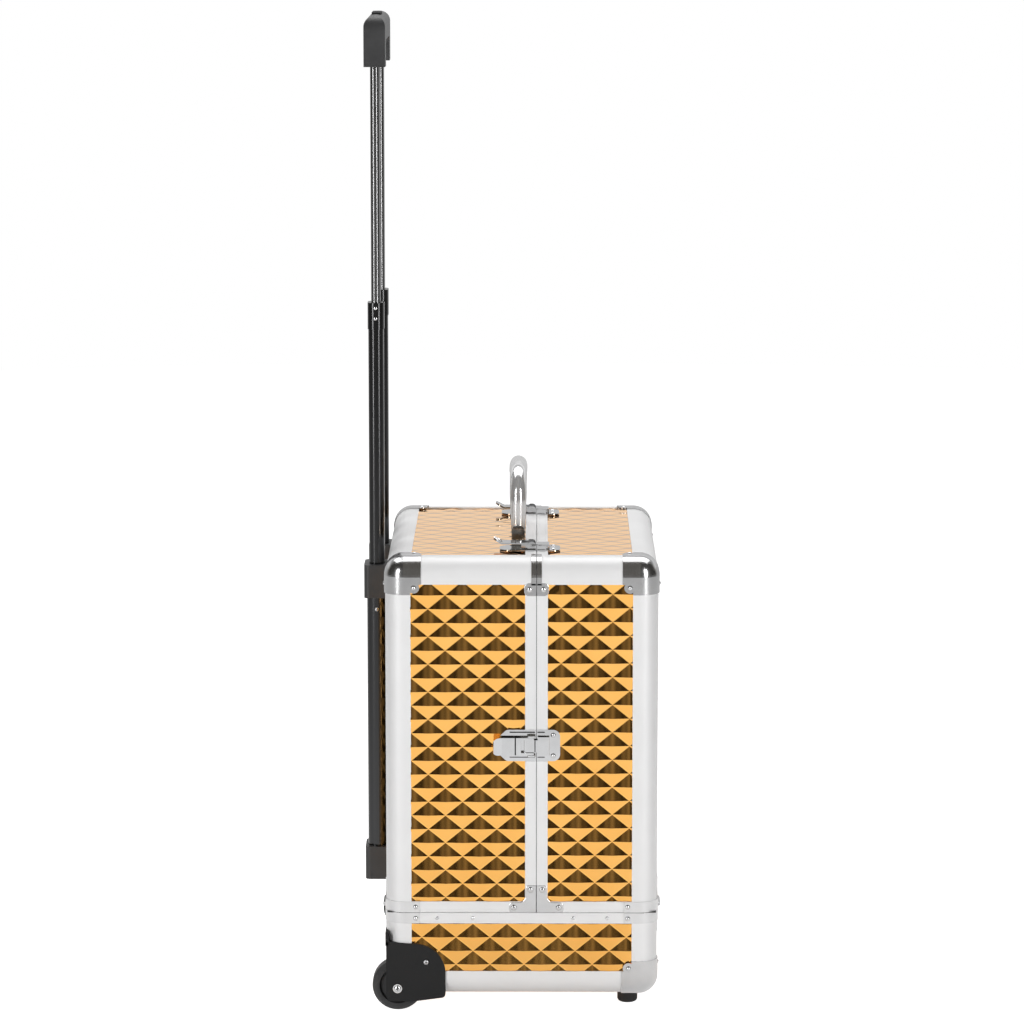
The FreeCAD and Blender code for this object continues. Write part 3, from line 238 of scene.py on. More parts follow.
class Finishes(Enum):
    """The case's finishes, by where they are used."""

    FILM = Finish(
        "gold_embossed_film",
        (0.96, 0.51, 0.125),
        (0.91, 0.46, 0.1),
        metallic=1.0,
        roughness=(0.06, 0.1),
        patch_scale=18.0,
        grain_scale=260.0,
        grain=0.03,
        coat=0.55,
    )
    RAIL = Finish(
        "satin_anodised_aluminium",
        (0.87, 0.87, 0.875),
        (0.84, 0.84, 0.845),
        metallic=0.2,
        roughness=(0.46, 0.54),
        patch_scale=25.0,
        grain_scale=700.0,
        grain=0.02,
    )
    CHROME = Plating(
        "bright_chrome_plate",
        (0.67, 0.675, 0.685),
        (0.6, 0.605, 0.615),
        roughness=(0.06, 0.14),
    )
    BAR = Plating(
        "polished_handle_bar",
        (0.82, 0.82, 0.825),
        (0.76, 0.76, 0.765),
        metallic=0.66,
        roughness=(0.1, 0.16),
    )
    NICKEL = Plating(
        "satin_nickel_plate",
        (0.6, 0.6, 0.605),
        (0.54, 0.54, 0.545),
        roughness=(0.17, 0.25),
    )
    SATIN = Plating(
        "satin_bracket_plate",
        (0.76, 0.76, 0.765),
        (0.71, 0.71, 0.715),
        metallic=0.5,
        roughness=(0.26, 0.34),
    )
    STEEL = Finish(
        "zinc_plated_steel",
        (0.6, 0.6, 0.61),
        (0.5, 0.5, 0.51),
        metallic=1.0,
        roughness=(0.28, 0.42),
        patch_scale=80.0,
    )
    MOULDED = Finish(
        "black_moulded_plastic",
        (0.005, 0.005, 0.0055),
        (0.003, 0.003, 0.0035),
        roughness=(0.75, 0.85),
        patch_scale=50.0,
        grain_scale=1400.0,
        grain=0.12,
    )
    GRIP = Finish(
        "soft_grey_plastic",
        (0.045, 0.045, 0.0465),
        (0.036, 0.036, 0.0375),
        roughness=(0.36, 0.46),
        patch_scale=60.0,
        grain_scale=1500.0,
        grain=0.06,
    )
    # Flat black used only for painted shade: strips in the gaps, crosses in the screw recesses and lines on
    # the latches.
    PAINTED_SHADE = Finish(
        "painted_shade_black",
        (0.03, 0.03, 0.03),
        (0.02, 0.02, 0.02),
        roughness=(0.7, 0.85),
        patch_scale=80.0,
    )
    TUBE = TubeCoat(
        "gloss_black_coat",
        (0.06, 0.06, 0.061),
        (0.05, 0.05, 0.051),
        roughness=(0.17, 0.21),
    )
    SLIDE = TubeCoat(
        "polished_black_slide",
        (0.21, 0.21, 0.212),
        (0.18, 0.18, 0.182),
        roughness=(0.23, 0.26),
    )
    RUBBER = Finish(
        "black_rubber",
        (0.012, 0.012, 0.012),
        (0.008, 0.008, 0.008),
        roughness=(0.6, 0.78),
        patch_scale=90.0,
        grain=0.15,
    )
    WHEEL = Finish(
        "grey_wheel_plastic",
        (0.04, 0.04, 0.041),
        (0.034, 0.034, 0.035),
        roughness=(0.5, 0.6),
        patch_scale=70.0,
        grain=0.08,
    )
    TRAY = Finish(
        "matt_tray_plastic",
        (0.05, 0.05, 0.052),
        (0.038, 0.038, 0.04),
        roughness=(0.5, 0.62),
        patch_scale=35.0,
        grain_scale=1200.0,
        grain=0.12,
    )
    LINING = Finish(
        "black_velvet_lining",
        (0.035, 0.033, 0.034),
        (0.02, 0.019, 0.02),
        roughness=(0.85, 0.95),
        patch_scale=55.0,
        grain_scale=2200.0,
        grain=0.4,
        sheen=0.3,
    )

    def material(self) -> bpy.types.Material:
        """The finish's material.

        Returns:
            The material, made once.
        """
        return self.value.material()


NODE_FINISH = {
    "rear_ball_corners": Finishes.NICKEL,
    "front_ball_corners": Finishes.NICKEL,
    "base_ball_corners": Finishes.NICKEL,
    "rear_corner_brackets": Finishes.SATIN,
    "front_corner_brackets": Finishes.SATIN,
    "base_corner_brackets": Finishes.SATIN,
    "carry_handle": Finishes.BAR,
    "telescope_inner_tubes": Finishes.SLIDE,
    "telescope_grip": Finishes.GRIP,
    "telescope_brackets": Finishes.GRIP,
    "wheel_axles": Finishes.CHROME,
    "wheel_near": Finishes.WHEEL,
    "wheel_far": Finishes.WHEEL,
}
SLOT_FINISH = {
    "gold_film": Finishes.FILM,
    "aluminium": Finishes.RAIL,
    "chrome": Finishes.CHROME,
    "steel": Finishes.STEEL,
    "black_plastic": Finishes.MOULDED,
    "black_metal": Finishes.TUBE,
    "rubber": Finishes.RUBBER,
    "tray_black": Finishes.TRAY,
}


class Face(Enum):
    """An outer face of the case: the directions of its width, height and outside."""

    NEAR = ((1, 0, 0), (0, 0, 1), (0, -1, 0))
    FAR = ((-1, 0, 0), (0, 0, 1), (0, 1, 0))
    REAR = ((0, -1, 0), (0, 0, 1), (-1, 0, 0))
    FRONT = ((0, 1, 0), (0, 0, 1), (1, 0, 0))
    TOP = ((1, 0, 0), (0, 1, 0), (0, 0, 1))

    def matrix(self, origin: Vector) -> Matrix:
        """The turn and shift from the face's own plane to the case.

        Args:
            origin: Point on the face that the plane's origin goes to.

        Returns:
            The matrix from (width, height, outside) to the case's frame.
        """
        wide, high, out = (Vector(axis) for axis in self.value)
        turn = Matrix((wide, high, out)).transposed().to_4x4()
        return Matrix.Translation(origin) @ turn

    def outmost(self, node: str) -> float:
        """How far out a solid reaches on this face.

        Args:
            node: The solid's name.

        Returns:
            The reach along the face's outside, from the frame's origin.
        """
        return max(Vector(self.value[2]).dot(corner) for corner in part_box(node))

    def seat(self, node: str, along: float, up: float) -> Matrix:
        """A seat on a solid at one of the case's ends.

        Args:
            node: The solid's name.
            along: The seat's place along the case.
            up: The seat's height.

        Returns:
            The matrix from the seat's own plane to the case's frame.
        """
        return self.matrix(Vector(self.value[2]) * self.outmost(node) + Vector((along, 0.0, up)))


ENDS = {"near": Face.NEAR, "far": Face.FAR}


def add_piece(
    name: str, mesh: bmesh.types.BMesh, finish: Finishes, body: str
) -> bpy.types.Object:
    """Turn a bmesh into a piece that rides on a body.

    Args:
        name: The piece's name.
        mesh: The shape, in the case's frame; it is freed here.
        finish: What the piece is finished in.
        body: The body that carries it.

    Returns:
        The new object.
    """
    data = bpy.data.meshes.new(name)
    mesh.to_mesh(data)
    mesh.free()
    data.materials.append(finish.material())
    piece = bpy.data.objects.new(name, data)
    bpy.context.scene.collection.objects.link(piece)
    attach(piece, body)
    LOG.info("%s rides on %s", name, body)
    return piece


@dataclass
class Solids:
    """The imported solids, each dressed in its own finish or its slot's."""

    special: dict[str, Finishes] = field(default_factory=lambda: dict(NODE_FINISH))

    def dress(self) -> None:
        """Give every solid its finish."""
        for part in frame["record"]["subparts"]:
            node = part["node"]
            finish = self.special.get(node, SLOT_FINISH[part["material_slot"]])
            data = frame["nodes"][node].data
            data.materials.clear()
            data.materials.append(finish.material())
        LOG.info("%d solids dressed", len(frame["nodes"]))


@dataclass
class CaseBox:
    """The case's main places, read from the solids, and the widths of its rails."""

    rear: float
    front: float
    end: float
    seam: float
    parting: float
    top: float
    leg: float = 25.0 * MM
    flat: float = 11.0 * MM
    board: float = 4.0 * MM

    @classmethod
    def read(cls) -> "CaseBox":
        """Measure the solids.

        Returns:
            The case's places.
        """
        low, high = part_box("rear_round_rails")
        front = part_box("front_round_rails")[1]
        seam = (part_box("rear_flat_rails")[1].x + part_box("front_flat_rails")[0].x) / 2
        parting = (low.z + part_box("base_round_rails")[1].z) / 2
        return cls(low.x, front.x, high.y, seam, parting, high.z)


@dataclass
class FilmPanel:
    """One board's embossed film: rows of low rhombic pyramids, trimmed to the board's opening."""

    name: str
    body: str
    face: Face
    window: tuple[float, float, float, float]
    board: str
    apex: Span
    pitch: float = 33.3 * MM
    row: float = 13.6 * MM
    rise: float = 1.9 * MM
    sunk: float = 0.05 * MM

    def build(self) -> bpy.types.Object:
        """Make the film and set it on its board.

        Returns:
            The film's object.
        """
        left, right, bottom, top = self.window
        mesh = bmesh.new()
        bmesh.ops.create_cone(
            mesh, cap_ends=False, segments=4, radius1=1.0, radius2=0.0, depth=1.0
        )
        bmesh.ops.remove_doubles(mesh, verts=mesh.verts, dist=WELD)
        self._soften(mesh)
        bmesh.ops.translate(mesh, verts=mesh.verts, vec=(0, 0, 0.5))
        bmesh.ops.scale(mesh, verts=mesh.verts, vec=(self.pitch / 2, self.row, self.rise))
        first_column = math.floor((left - self.apex[0]) / self.pitch) - 1
        first_row = math.floor((bottom - self.apex[1]) / self.row) - 1
        columns = math.ceil((right - left) / self.pitch) + 3
        rows = math.ceil((top - bottom) / self.row) + 3
        start = (self.apex[0] + first_column * self.pitch, self.apex[1] + first_row * self.row, 0)
        bmesh.ops.translate(mesh, verts=mesh.verts, vec=start)
        cell = list(mesh.faces)
        for column in range(1, columns):
            self._repeat(mesh, cell, (column * self.pitch, 0, 0))
        line = list(mesh.faces)
        for step in range(1, rows):
            stagger = self.pitch / 2 if (first_row + step) % 2 != first_row % 2 else 0
            self._repeat(mesh, line, (stagger, step * self.row, 0))
        if first_row % 2:
            bmesh.ops.translate(mesh, verts=mesh.verts, vec=(self.pitch / 2, 0, 0))
        self._trim(mesh)
        bmesh.ops.transform(mesh, verts=mesh.verts, matrix=self._seat())
        bmesh.ops.recalc_face_normals(mesh, faces=mesh.faces)
        self._face_out(mesh)
        return add_piece(self.name, mesh, Finishes.FILM, self.body)

    def _soften(self, mesh: bmesh.types.BMesh) -> None:
        """Blend the two upper and the two lower facets of a pyramid, and keep its side ridges sharp.

        Args:
            mesh: One pyramid, a unit from its middle to each corner.
        """
        for facet in mesh.faces:
            facet.smooth = True
        for line in mesh.edges:
            line.smooth = max(abs(end.co.x) for end in line.verts) < 0.5

    def _repeat(self, mesh: bmesh.types.BMesh, faces: list[bmesh.types.BMFace], shift: Point) -> None:
        """Copy some faces and shift the copy.

        Args:
            mesh: The film that grows.
            faces: What is copied.
            shift: How far the copy goes across, up and out.
        """
        made = bmesh.ops.duplicate(mesh, geom=faces)["geom"]
        corners = {corner for item in made if isinstance(item, bmesh.types.BMFace) for corner in item.verts}
        bmesh.ops.translate(mesh, verts=list(corners), vec=shift)

    def _trim(self, mesh: bmesh.types.BMesh) -> None:
        """Cut the rows off at the window's four sides.

        Args:
            mesh: The film that is cut.
        """
        left, right, bottom, top = self.window
        for point, normal in (
            ((left, 0, 0), (-1, 0, 0)),
            ((right, 0, 0), (1, 0, 0)),
            ((0, bottom, 0), (0, -1, 0)),
            ((0, top, 0), (0, 1, 0)),
        ):
            geom = list(mesh.verts) + list(mesh.edges) + list(mesh.faces)
            bmesh.ops.bisect_plane(
                mesh, geom=geom, dist=CUT, plane_co=point, plane_no=normal, clear_outer=True
            )

    def _seat(self) -> Matrix:
        """Where the film lies on its board.

        Returns:
            The matrix from the film's own plane to the board's outer face.
        """
        out = Vector(self.face.value[2])
        return self.face.matrix(out * (self.face.outmost(self.board) - self.sunk))

    def _face_out(self, mesh: bmesh.types.BMesh) -> None:
        """Turn every facet to the outside of the case.

        Args:
            mesh: The film, in its place.
        """
        out = Vector(self.face.value[2])
        wrong = [facet for facet in mesh.faces if facet.normal.dot(out) < 0]
        if wrong:
            bmesh.ops.reverse_faces(mesh, faces=wrong)


@dataclass
class FilmSet:
    """The film on all the outer boards of the two shells and the base."""

    case: CaseBox
    under_lip: float = 0.3 * MM
    housing_in: float = 139.5 * MM
    top_rise: float = 1.2 * MM
    rear_apex: Span = (-14.55 * MM, 306.6 * MM)
    front_apex: Span = (47.75 * MM, 307.7 * MM)
    base_apex: Span = (-4.65 * MM, 75.9 * MM)

    def build(self) -> None:
        """Make the film of every board."""
        case = self.case
        rear = self._under(case.rear + case.leg, case.seam - case.flat)
        front = self._under(case.seam + case.flat, case.front - case.leg)
        whole = self._under(case.rear + case.leg, case.front - case.leg)
        deep = self._under(case.leg - case.end, case.end - case.leg)
        shell = self._under(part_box("rear_flat_rails")[0].z + case.flat, case.top - case.leg)
        low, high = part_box("base_round_rails")[0].z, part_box("base_top_rails")[1].z
        base = self._under(low + case.leg, high - case.flat)
        self._ends("rear", "rear_shell", rear, shell, self.rear_apex)
        self._ends("front", "front_shell", front, shell, self.front_apex)
        self._ends("base", "base", whole, base, self.base_apex)
        between = (-self.housing_in, self.housing_in)
        for half, face, span in (("rear", Face.REAR, between), ("front", Face.FRONT, deep)):
            for name, body, board, window, up in (
                (f"{half}_side", f"{half}_shell", f"{half}_side_panel", (*deep, *shell), self.rear_apex[1]),
                (f"base_{half}", "base", "base_side_panels", (*span, *base), self.base_apex[1]),
            ):
                FilmPanel(f"{name}_film", body, face, window, board, (0.0, up)).build()
        for half, span, apex in (("rear", rear, self.rear_apex), ("front", front, self.front_apex)):
            window, tip = (*span, *deep), (apex[0], 0.0)
            name, body, board = f"{half}_top_film", f"{half}_shell", f"{half}_top_panel"
            FilmPanel(name, body, Face.TOP, window, board, tip, rise=self.top_rise).build()

    def _under(self, start: float, stop: float) -> Span:
        """An opening between two rails, with the film's edges tucked under their lips.

        Args:
            start: The opening's lower side.
            stop: The opening's upper side.

        Returns:
            The film's lower and upper side.
        """
        return start - self.under_lip, stop + self.under_lip

    def _ends(self, part: str, body: str, across: Span, heights: Span, apex: Span) -> None:
        """Make the film of the near and the far end of a shell or the base.

        Args:
            part: The shell's or the base's word in the boards' names.
            body: The body that carries the boards.
            across: The film's sides along the case.
            heights: The film's lower and upper side.
            apex: One pyramid's top on the near end, along the case and up.
        """
        left, right = across
        for word, sides, sign in (("near", (left, right), 1), ("far", (-right, -left), -1)):
            window = (*sides, *heights)
            tip = (sign * apex[0], apex[1])
            FilmPanel(f"{part}_{word}_film", body, ENDS[word], window, f"{part}_end_panels", tip).build()


def plate(outline: list[tuple[float, float]], thickness: float, edge: float) -> bmesh.types.BMesh:
    """A flat stamped plate with softened front edges, lying in its own plane.

    Args:
        outline: The plate's corners, anticlockwise, as width and height.
        thickness: How far the plate stands out.
        edge: The width of the softened edge.

    Returns:
        The plate's bmesh, from zero to the thickness.
    """
    mesh = bmesh.new()
    corners = [mesh.verts.new((wide, high, 0.0)) for wide, high in outline]
    back = mesh.faces.new(corners)
    pushed = bmesh.ops.extrude_face_region(mesh, geom=[back])["geom"]
    front = [item for item in pushed if isinstance(item, bmesh.types.BMVert)]
    bmesh.ops.translate(mesh, verts=front, vec=(0, 0, thickness))
    bmesh.ops.recalc_face_normals(mesh, faces=mesh.faces)
    rim = [line for line in mesh.edges if all(end in front for end in line.verts)]
    bmesh.ops.bevel(
        mesh, geom=rim, offset=edge, affect="EDGES", segments=2, profile=0.5, material=-1
    )
    return mesh


def rounded(points: list[tuple[float, float, float]], steps: int = 5) -> list[tuple[float, float]]:
    """An outline whose corners are rounded.

    Args:
        points: Corners in order, each as width, height and corner radius.
        steps: Segments in each rounded corner.

    Returns:
        The outline's points.
    """
    outline = []
    for index, (wide, high, radius) in enumerate(points):
        here = Vector((wide, high))
        if radius <= 0:
            outline.append((wide, high))
            continue
        before = (Vector(points[index - 1][:2]) - here).normalized()
        after = (Vector(points[(index + 1) % len(points)][:2]) - here).normalized()
        half = before.angle(after) / 2
        centre = here + (before + after).normalized() * radius / math.sin(half)
        start = here + before * radius / math.tan(half) - centre
        turn = start.angle_signed(here + after * radius / math.tan(half) - centre)
        for step in range(steps + 1):
            spoke = start.copy()
            spoke.rotate(Matrix.Rotation(-turn * step / steps, 2))
            outline.append(tuple(centre + spoke))
    return outline


def dome(radius: float, rise: float) -> bmesh.types.BMesh:
    """A rivet's low round head on its own plane.

    Args:
        radius: The head's radius.
        rise: The head's height.

    Returns:
        The head's bmesh.
    """
    mesh = bmesh.new()
    bmesh.ops.create_uvsphere(mesh, u_segments=20, v_segments=10, radius=radius)
    geom = list(mesh.verts) + list(mesh.edges) + list(mesh.faces)
    bmesh.ops.bisect_plane(
        mesh, geom=geom, dist=CUT, plane_co=(0, 0, 0), plane_no=(0, 0, -1), clear_outer=True
    )
    bmesh.ops.scale(mesh, verts=mesh.verts, vec=(1.0, 1.0, rise / radius))
    for facet in mesh.faces:
        facet.smooth = True
    return mesh


def join(target: bmesh.types.BMesh, part: bmesh.types.BMesh, place: Matrix | None = None) -> None:
    """Move one shape into another.

    Args:
        target: The shape that grows.
        part: The shape that is added; it is freed here.
        place: Where the added shape goes, or nothing where it is already in place.
    """
    if place is not None:
        bmesh.ops.transform(part, verts=part.verts, matrix=place)
    data = bpy.data.meshes.new("joined")
    part.to_mesh(data)
    part.free()
    target.from_mesh(data)
    bpy.data.meshes.remove(data)


def bar(x: Span, y: Span, z: Span, edge: float = 0.0) -> bmesh.types.BMesh:
    """A straight bar.

    Args:
        x: Its two ends along the case, in any order.
        y: Its two ends across the case, in any order.
        z: Its two ends upwards, in any order.
        edge: The width of its softened edges, or nothing.

    Returns:
        The bar's bmesh.
    """
    mesh = bmesh.new()
    bmesh.ops.create_cube(mesh, size=1.0)
    low, high = Vector(map(min, (x, y, z))), Vector(map(max, (x, y, z)))
    bmesh.ops.scale(mesh, verts=mesh.verts, vec=high - low)
    bmesh.ops.translate(mesh, verts=mesh.verts, vec=(low + high) / 2)
    if edge > 0:
        bmesh.ops.bevel(
            mesh, geom=list(mesh.edges), offset=edge, affect="EDGES", segments=2, profile=0.5, material=-1
        )
    return mesh


@dataclass
class SeamTrim:
    """The stamped chrome that ties the rails where the two shells meet, at both ends."""

    case: CaseBox
    wall: float = 0.9 * MM
    edge: float = 0.35 * MM
    gap: float = 0.35 * MM
    skin: float = 0.05 * MM
    foot_long: float = 26.5 * MM
    foot_high: float = 10.0 * MM
    foot_round: float = 3.5 * MM
    elbow_round: float = 7.0 * MM
    leg_high: float = 27.0 * MM
    leg_wide: float = 10.3 * MM
    leg_round: float = 2.5 * MM
    band_wide: float = 5.0 * MM
    band_lap: float = 2.0 * MM
    band_reach: float = 25.0 * MM
    band_steps: int = 12
    ear_wide: float = 12.0 * MM
    ear_low: float = 36.0 * MM
    ear_high: float = 23.5 * MM
    ear_round: float = 4.5 * MM
    rail_round: float = 18.0 * MM
    rivet_radius: float = 2.9 * MM
    rivet_rise: float = 1.7 * MM
    foot_rivet: float = 4.5 * MM
    leg_rivet: Span = (0.6 * MM, 4.2 * MM)
    ear_rivet: float = 5.2 * MM

    def build(self) -> None:
        """Make the brackets and bands of both shells at both ends."""
        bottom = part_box("rear_flat_rails")[0].z
        for shell, side in (("rear", -1), ("front", 1)):
            for word, face in ENDS.items():
                mesh = bmesh.new()
                self._foot_bracket(mesh, bottom)
                self._ear(mesh, self.case.top)
                self._band(mesh, self.case.top)
                turned = 1 if face is Face.NEAR else -1
                if side * turned < 0:
                    bmesh.ops.scale(mesh, verts=mesh.verts, vec=(-1, 1, 1))
                    bmesh.ops.reverse_faces(mesh, faces=mesh.faces)
                shift = Matrix.Translation((turned * self.case.seam, 0.0, 0.0))
                out = Vector(face.value[2]) * (self.case.end + self.skin)
                bmesh.ops.transform(mesh, verts=mesh.verts, matrix=face.matrix(out) @ shift)
                add_piece(
                    f"{shell}_{word}_seam_trim", mesh, Finishes.NICKEL, f"{shell}_shell"
                )

    def _rivet(self, mesh: bmesh.types.BMesh, wide: float, high: float) -> None:
        """Set a rivet head on the trim.

        Args:
            mesh: The trim that it joins.
            wide: Its distance from the seam.
            high: Its height.
        """
        join(mesh, dome(self.rivet_radius, self.rivet_rise), Matrix.Translation((wide, high, self.wall)))

    def _foot_bracket(self, mesh: bmesh.types.BMesh, bottom: float) -> None:
        """The bracket in the seam's lower corner, with a rivet on each leg.

        Args:
            mesh: The trim that it joins.
            bottom: Height of the shell's lower edge.
        """
        outline = rounded(
            [
                (self.gap, bottom, 0.0),
                (self.foot_long, bottom, self.foot_round),
                (self.foot_long, bottom + self.foot_high, self.foot_round),
                (self.leg_wide, bottom + self.foot_high, self.elbow_round),
                (self.leg_wide, bottom + self.leg_high, self.leg_round),
                (self.gap, bottom + self.leg_high, 0.0),
            ]
        )
        join(mesh, plate(outline, self.wall, self.edge))
        aside, down = self.leg_rivet
        self._rivet(mesh, self.foot_long - self.foot_rivet, bottom + self.foot_high / 2)
        self._rivet(mesh, self.leg_wide / 2 + aside, bottom + self.leg_high - down)

    def _ear(self, mesh: bmesh.types.BMesh, top: float) -> None:
        """The riveted ear at the lower end of the band over the top rail.

        Args:
            mesh: The trim that it joins.
            top: Height of the shell's top.
        """
        outline = rounded(
            [
                (self.gap, top - self.ear_low, 0.0),
                (self.ear_wide, top - self.ear_low, self.ear_round),
                (self.ear_wide, top - self.ear_high, self.ear_round),
                (self.gap, top - self.ear_high, 0.0),
            ]
        )
        join(mesh, plate(outline, self.wall, self.edge))
        self._rivet(mesh, self.ear_wide - self.ear_rivet, top - (self.ear_low + self.ear_high) / 2)

    def _band(self, mesh: bmesh.types.BMesh, top: float) -> None:
        """The band that wraps the rounded top rail, from the ear to the top board.

        Args:
            mesh: The trim that it joins.
            top: Height of the shell's top.
        """
        strip = bmesh.new()
        start = strip.verts.new((self.gap, top - self.ear_high - self.band_lap, 0.0))
        bend = strip.verts.new((self.gap, top - self.rail_round, 0.0))
        strip.edges.new((start, bend))
        turned = bmesh.ops.spin(
            strip,
            geom=[bend],
            cent=(0.0, top - self.rail_round, -self.rail_round),
            axis=(1, 0, 0),
            angle=-math.pi / 2,
            steps=self.band_steps,
            use_duplicate=False,
        )["geom_last"]
        last = next(item for item in turned if isinstance(item, bmesh.types.BMVert))
        tip = strip.verts.new(last.co + Vector((0.0, 0.0, -(self.band_reach - self.rail_round))))
        strip.edges.new((last, tip))
        widened = bmesh.ops.extrude_edge_only(strip, edges=list(strip.edges))["geom"]
        moved = [item for item in widened if isinstance(item, bmesh.types.BMVert)]
        bmesh.ops.translate(strip, verts=moved, vec=(self.band_wide - self.gap, 0, 0))
        bmesh.ops.remove_doubles(strip, verts=strip.verts, dist=WELD)
        bmesh.ops.recalc_face_normals(strip, faces=strip.faces)
        if sum(facet.normal.z + facet.normal.y for facet in strip.faces) < 0:
            bmesh.ops.reverse_faces(strip, faces=strip.faces)
        bmesh.ops.solidify(strip, geom=list(strip.faces), thickness=-self.wall)
        bmesh.ops.recalc_face_normals(strip, faces=strip.faces)
        join(mesh, strip)


@dataclass
class RailRivets:
    """The small rivets along the base's top rail, at both ends of the case."""

    places: tuple[float, ...] = (-73.05 * MM, -37.85 * MM, 59.85 * MM, 93.05 * MM)
    down: float = 5.4 * MM
    radius: float = 2.0 * MM
    rise: float = 1.0 * MM

    def build(self) -> None:
        """Make the rivets of both ends."""
        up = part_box("base_top_rails")[1].z - self.down
        mesh = bmesh.new()
        for face in ENDS.values():
            for place in self.places:
                join(mesh, dome(self.radius, self.rise), face.seat("base_top_rails", place, up))
        add_piece("base_rail_rivets", mesh, Finishes.CHROME, "base")


@dataclass
class GapShadeStrips:
    """Painted shade: dark strips in the narrow gaps between the shells and the base, and along the parting
    past the corner brackets, where shade falls.
    """

    case: CaseBox
    thick: float = 0.4 * MM
    start: float = 1.2 * MM
    stop: float = 6.5 * MM
    bracket_out: float = 0.9 * MM
    bracket_long: float = 32.8 * MM
    corner: float = 13.0 * MM

    def build(self) -> None:
        """Make the painted-shade strips of the upright seam and of the parting line."""
        case, half = self.case, self.thick / 2
        out, inner = case.end - self.start, case.end - self.stop
        x = (case.seam - half, case.seam + half)
        z = (case.parting - half, case.parting + half)
        upright, level = bmesh.new(), bmesh.new()
        # Painted shade in the upright seam between the two shells.
        join(upright, bar(x, (-inner, inner), (case.top - self.stop, case.top - self.start)))
        for sign in (-1, 1):
            y = (sign * out, sign * inner)
            join(upright, bar(x, y, (z[1], case.top - self.start)))
            join(level, bar((case.rear + self.stop, case.front - self.stop), y, z))
        for edge, inward in ((case.rear, 1), (case.front, -1)):
            join(level, bar((edge + inward * self.start, edge + inward * self.stop), (-out, out), z))
            under = (edge + inward * self.corner, edge + inward * self.bracket_long)
            for sign in (-1, 1):
                # Painted shadow line: the dark strip runs out past the end faces to the corner brackets'
                # outer face.
                join(level, bar(under, (sign * out, sign * (case.end + self.bracket_out)), z))
        add_piece("shell_seam_painted_shade", upright, Finishes.PAINTED_SHADE, "rear_shell")
        add_piece("parting_painted_shade", level, Finishes.PAINTED_SHADE, "base")


@dataclass
class RailBeads:
    """The fine raised beads that edge the flat rails."""

    case: CaseBox
    wide: float = 2.0 * MM
    inset: float = 0.7 * MM
    proud: float = 0.4 * MM
    sunk: float = 0.1 * MM
    edge: float = 0.25 * MM
    bracket: float = 33.3 * MM

    def build(self) -> None:
        """Make the beads of both shells and of the base."""
        case = self.case
        uprights = (case.parting + case.flat, case.top - case.leg)
        for shell, side, corner in (("rear", -1, case.rear), ("front", 1, case.front)):
            mesh = bmesh.new()
            for start, stop in self._pair():
                x = (case.seam + side * start, case.seam + side * stop)
                z = (case.parting + start, case.parting + stop)
                self._ends(mesh, x, uprights)
                self._across(mesh, x)
                self._ends(mesh, (case.seam + side * case.flat, corner - side * self.bracket), z)
                self._side(mesh, corner, side, z)
            add_piece(f"{shell}_rail_beads", mesh, Finishes.RAIL, f"{shell}_shell")
        mesh = bmesh.new()
        for start, stop in self._pair():
            z = (case.parting - start, case.parting - stop)
            self._ends(mesh, (case.rear + self.bracket, case.front - self.bracket), z)
            self._side(mesh, case.rear, -1, z)
            self._side(mesh, case.front, 1, z)
        add_piece("base_rail_beads", mesh, Finishes.RAIL, "base")

    def _pair(self) -> list[Span]:
        """The two beads of a rail.

        Returns:
            Start and stop of each bead, from the rail's joint edge.
        """
        first, last = self.inset, self.case.flat - self.inset / 2
        return [(first, first + self.wide), (last - self.wide, last)]

    def _ends(self, mesh: bmesh.types.BMesh, x: Span, z: Span) -> None:
        """Lay a bead on both ends of the case.

        Args:
            mesh: The beads that it joins.
            x: Its sides along the case.
            z: Its lower and upper side.
        """
        for sign in (-1, 1):
            y = (sign * (self.case.end - self.sunk), sign * (self.case.end + self.proud))
            join(mesh, bar(x, y, z, self.edge))

    def _across(self, mesh: bmesh.types.BMesh, x: Span) -> None:
        """Lay a bead along the top, from end to end.

        Args:
            mesh: The beads that it joins.
            x: Its sides along the case.
        """
        half, top = self.case.end - self.case.leg, self.case.top
        join(mesh, bar(x, (-half, half), (top - self.sunk, top + self.proud), self.edge))

    def _side(self, mesh: bmesh.types.BMesh, corner: float, side: int, z: Span) -> None:
        """Lay a bead along the rear or the front.

        Args:
            mesh: The beads that it joins.
            corner: Where that side's face is.
            side: Which way is out.
            z: Its lower and upper side.
        """
        half = self.case.end - self.bracket
        x = (corner - side * self.sunk, corner + side * self.proud)
        join(mesh, bar(x, (-half, half), z, self.edge))


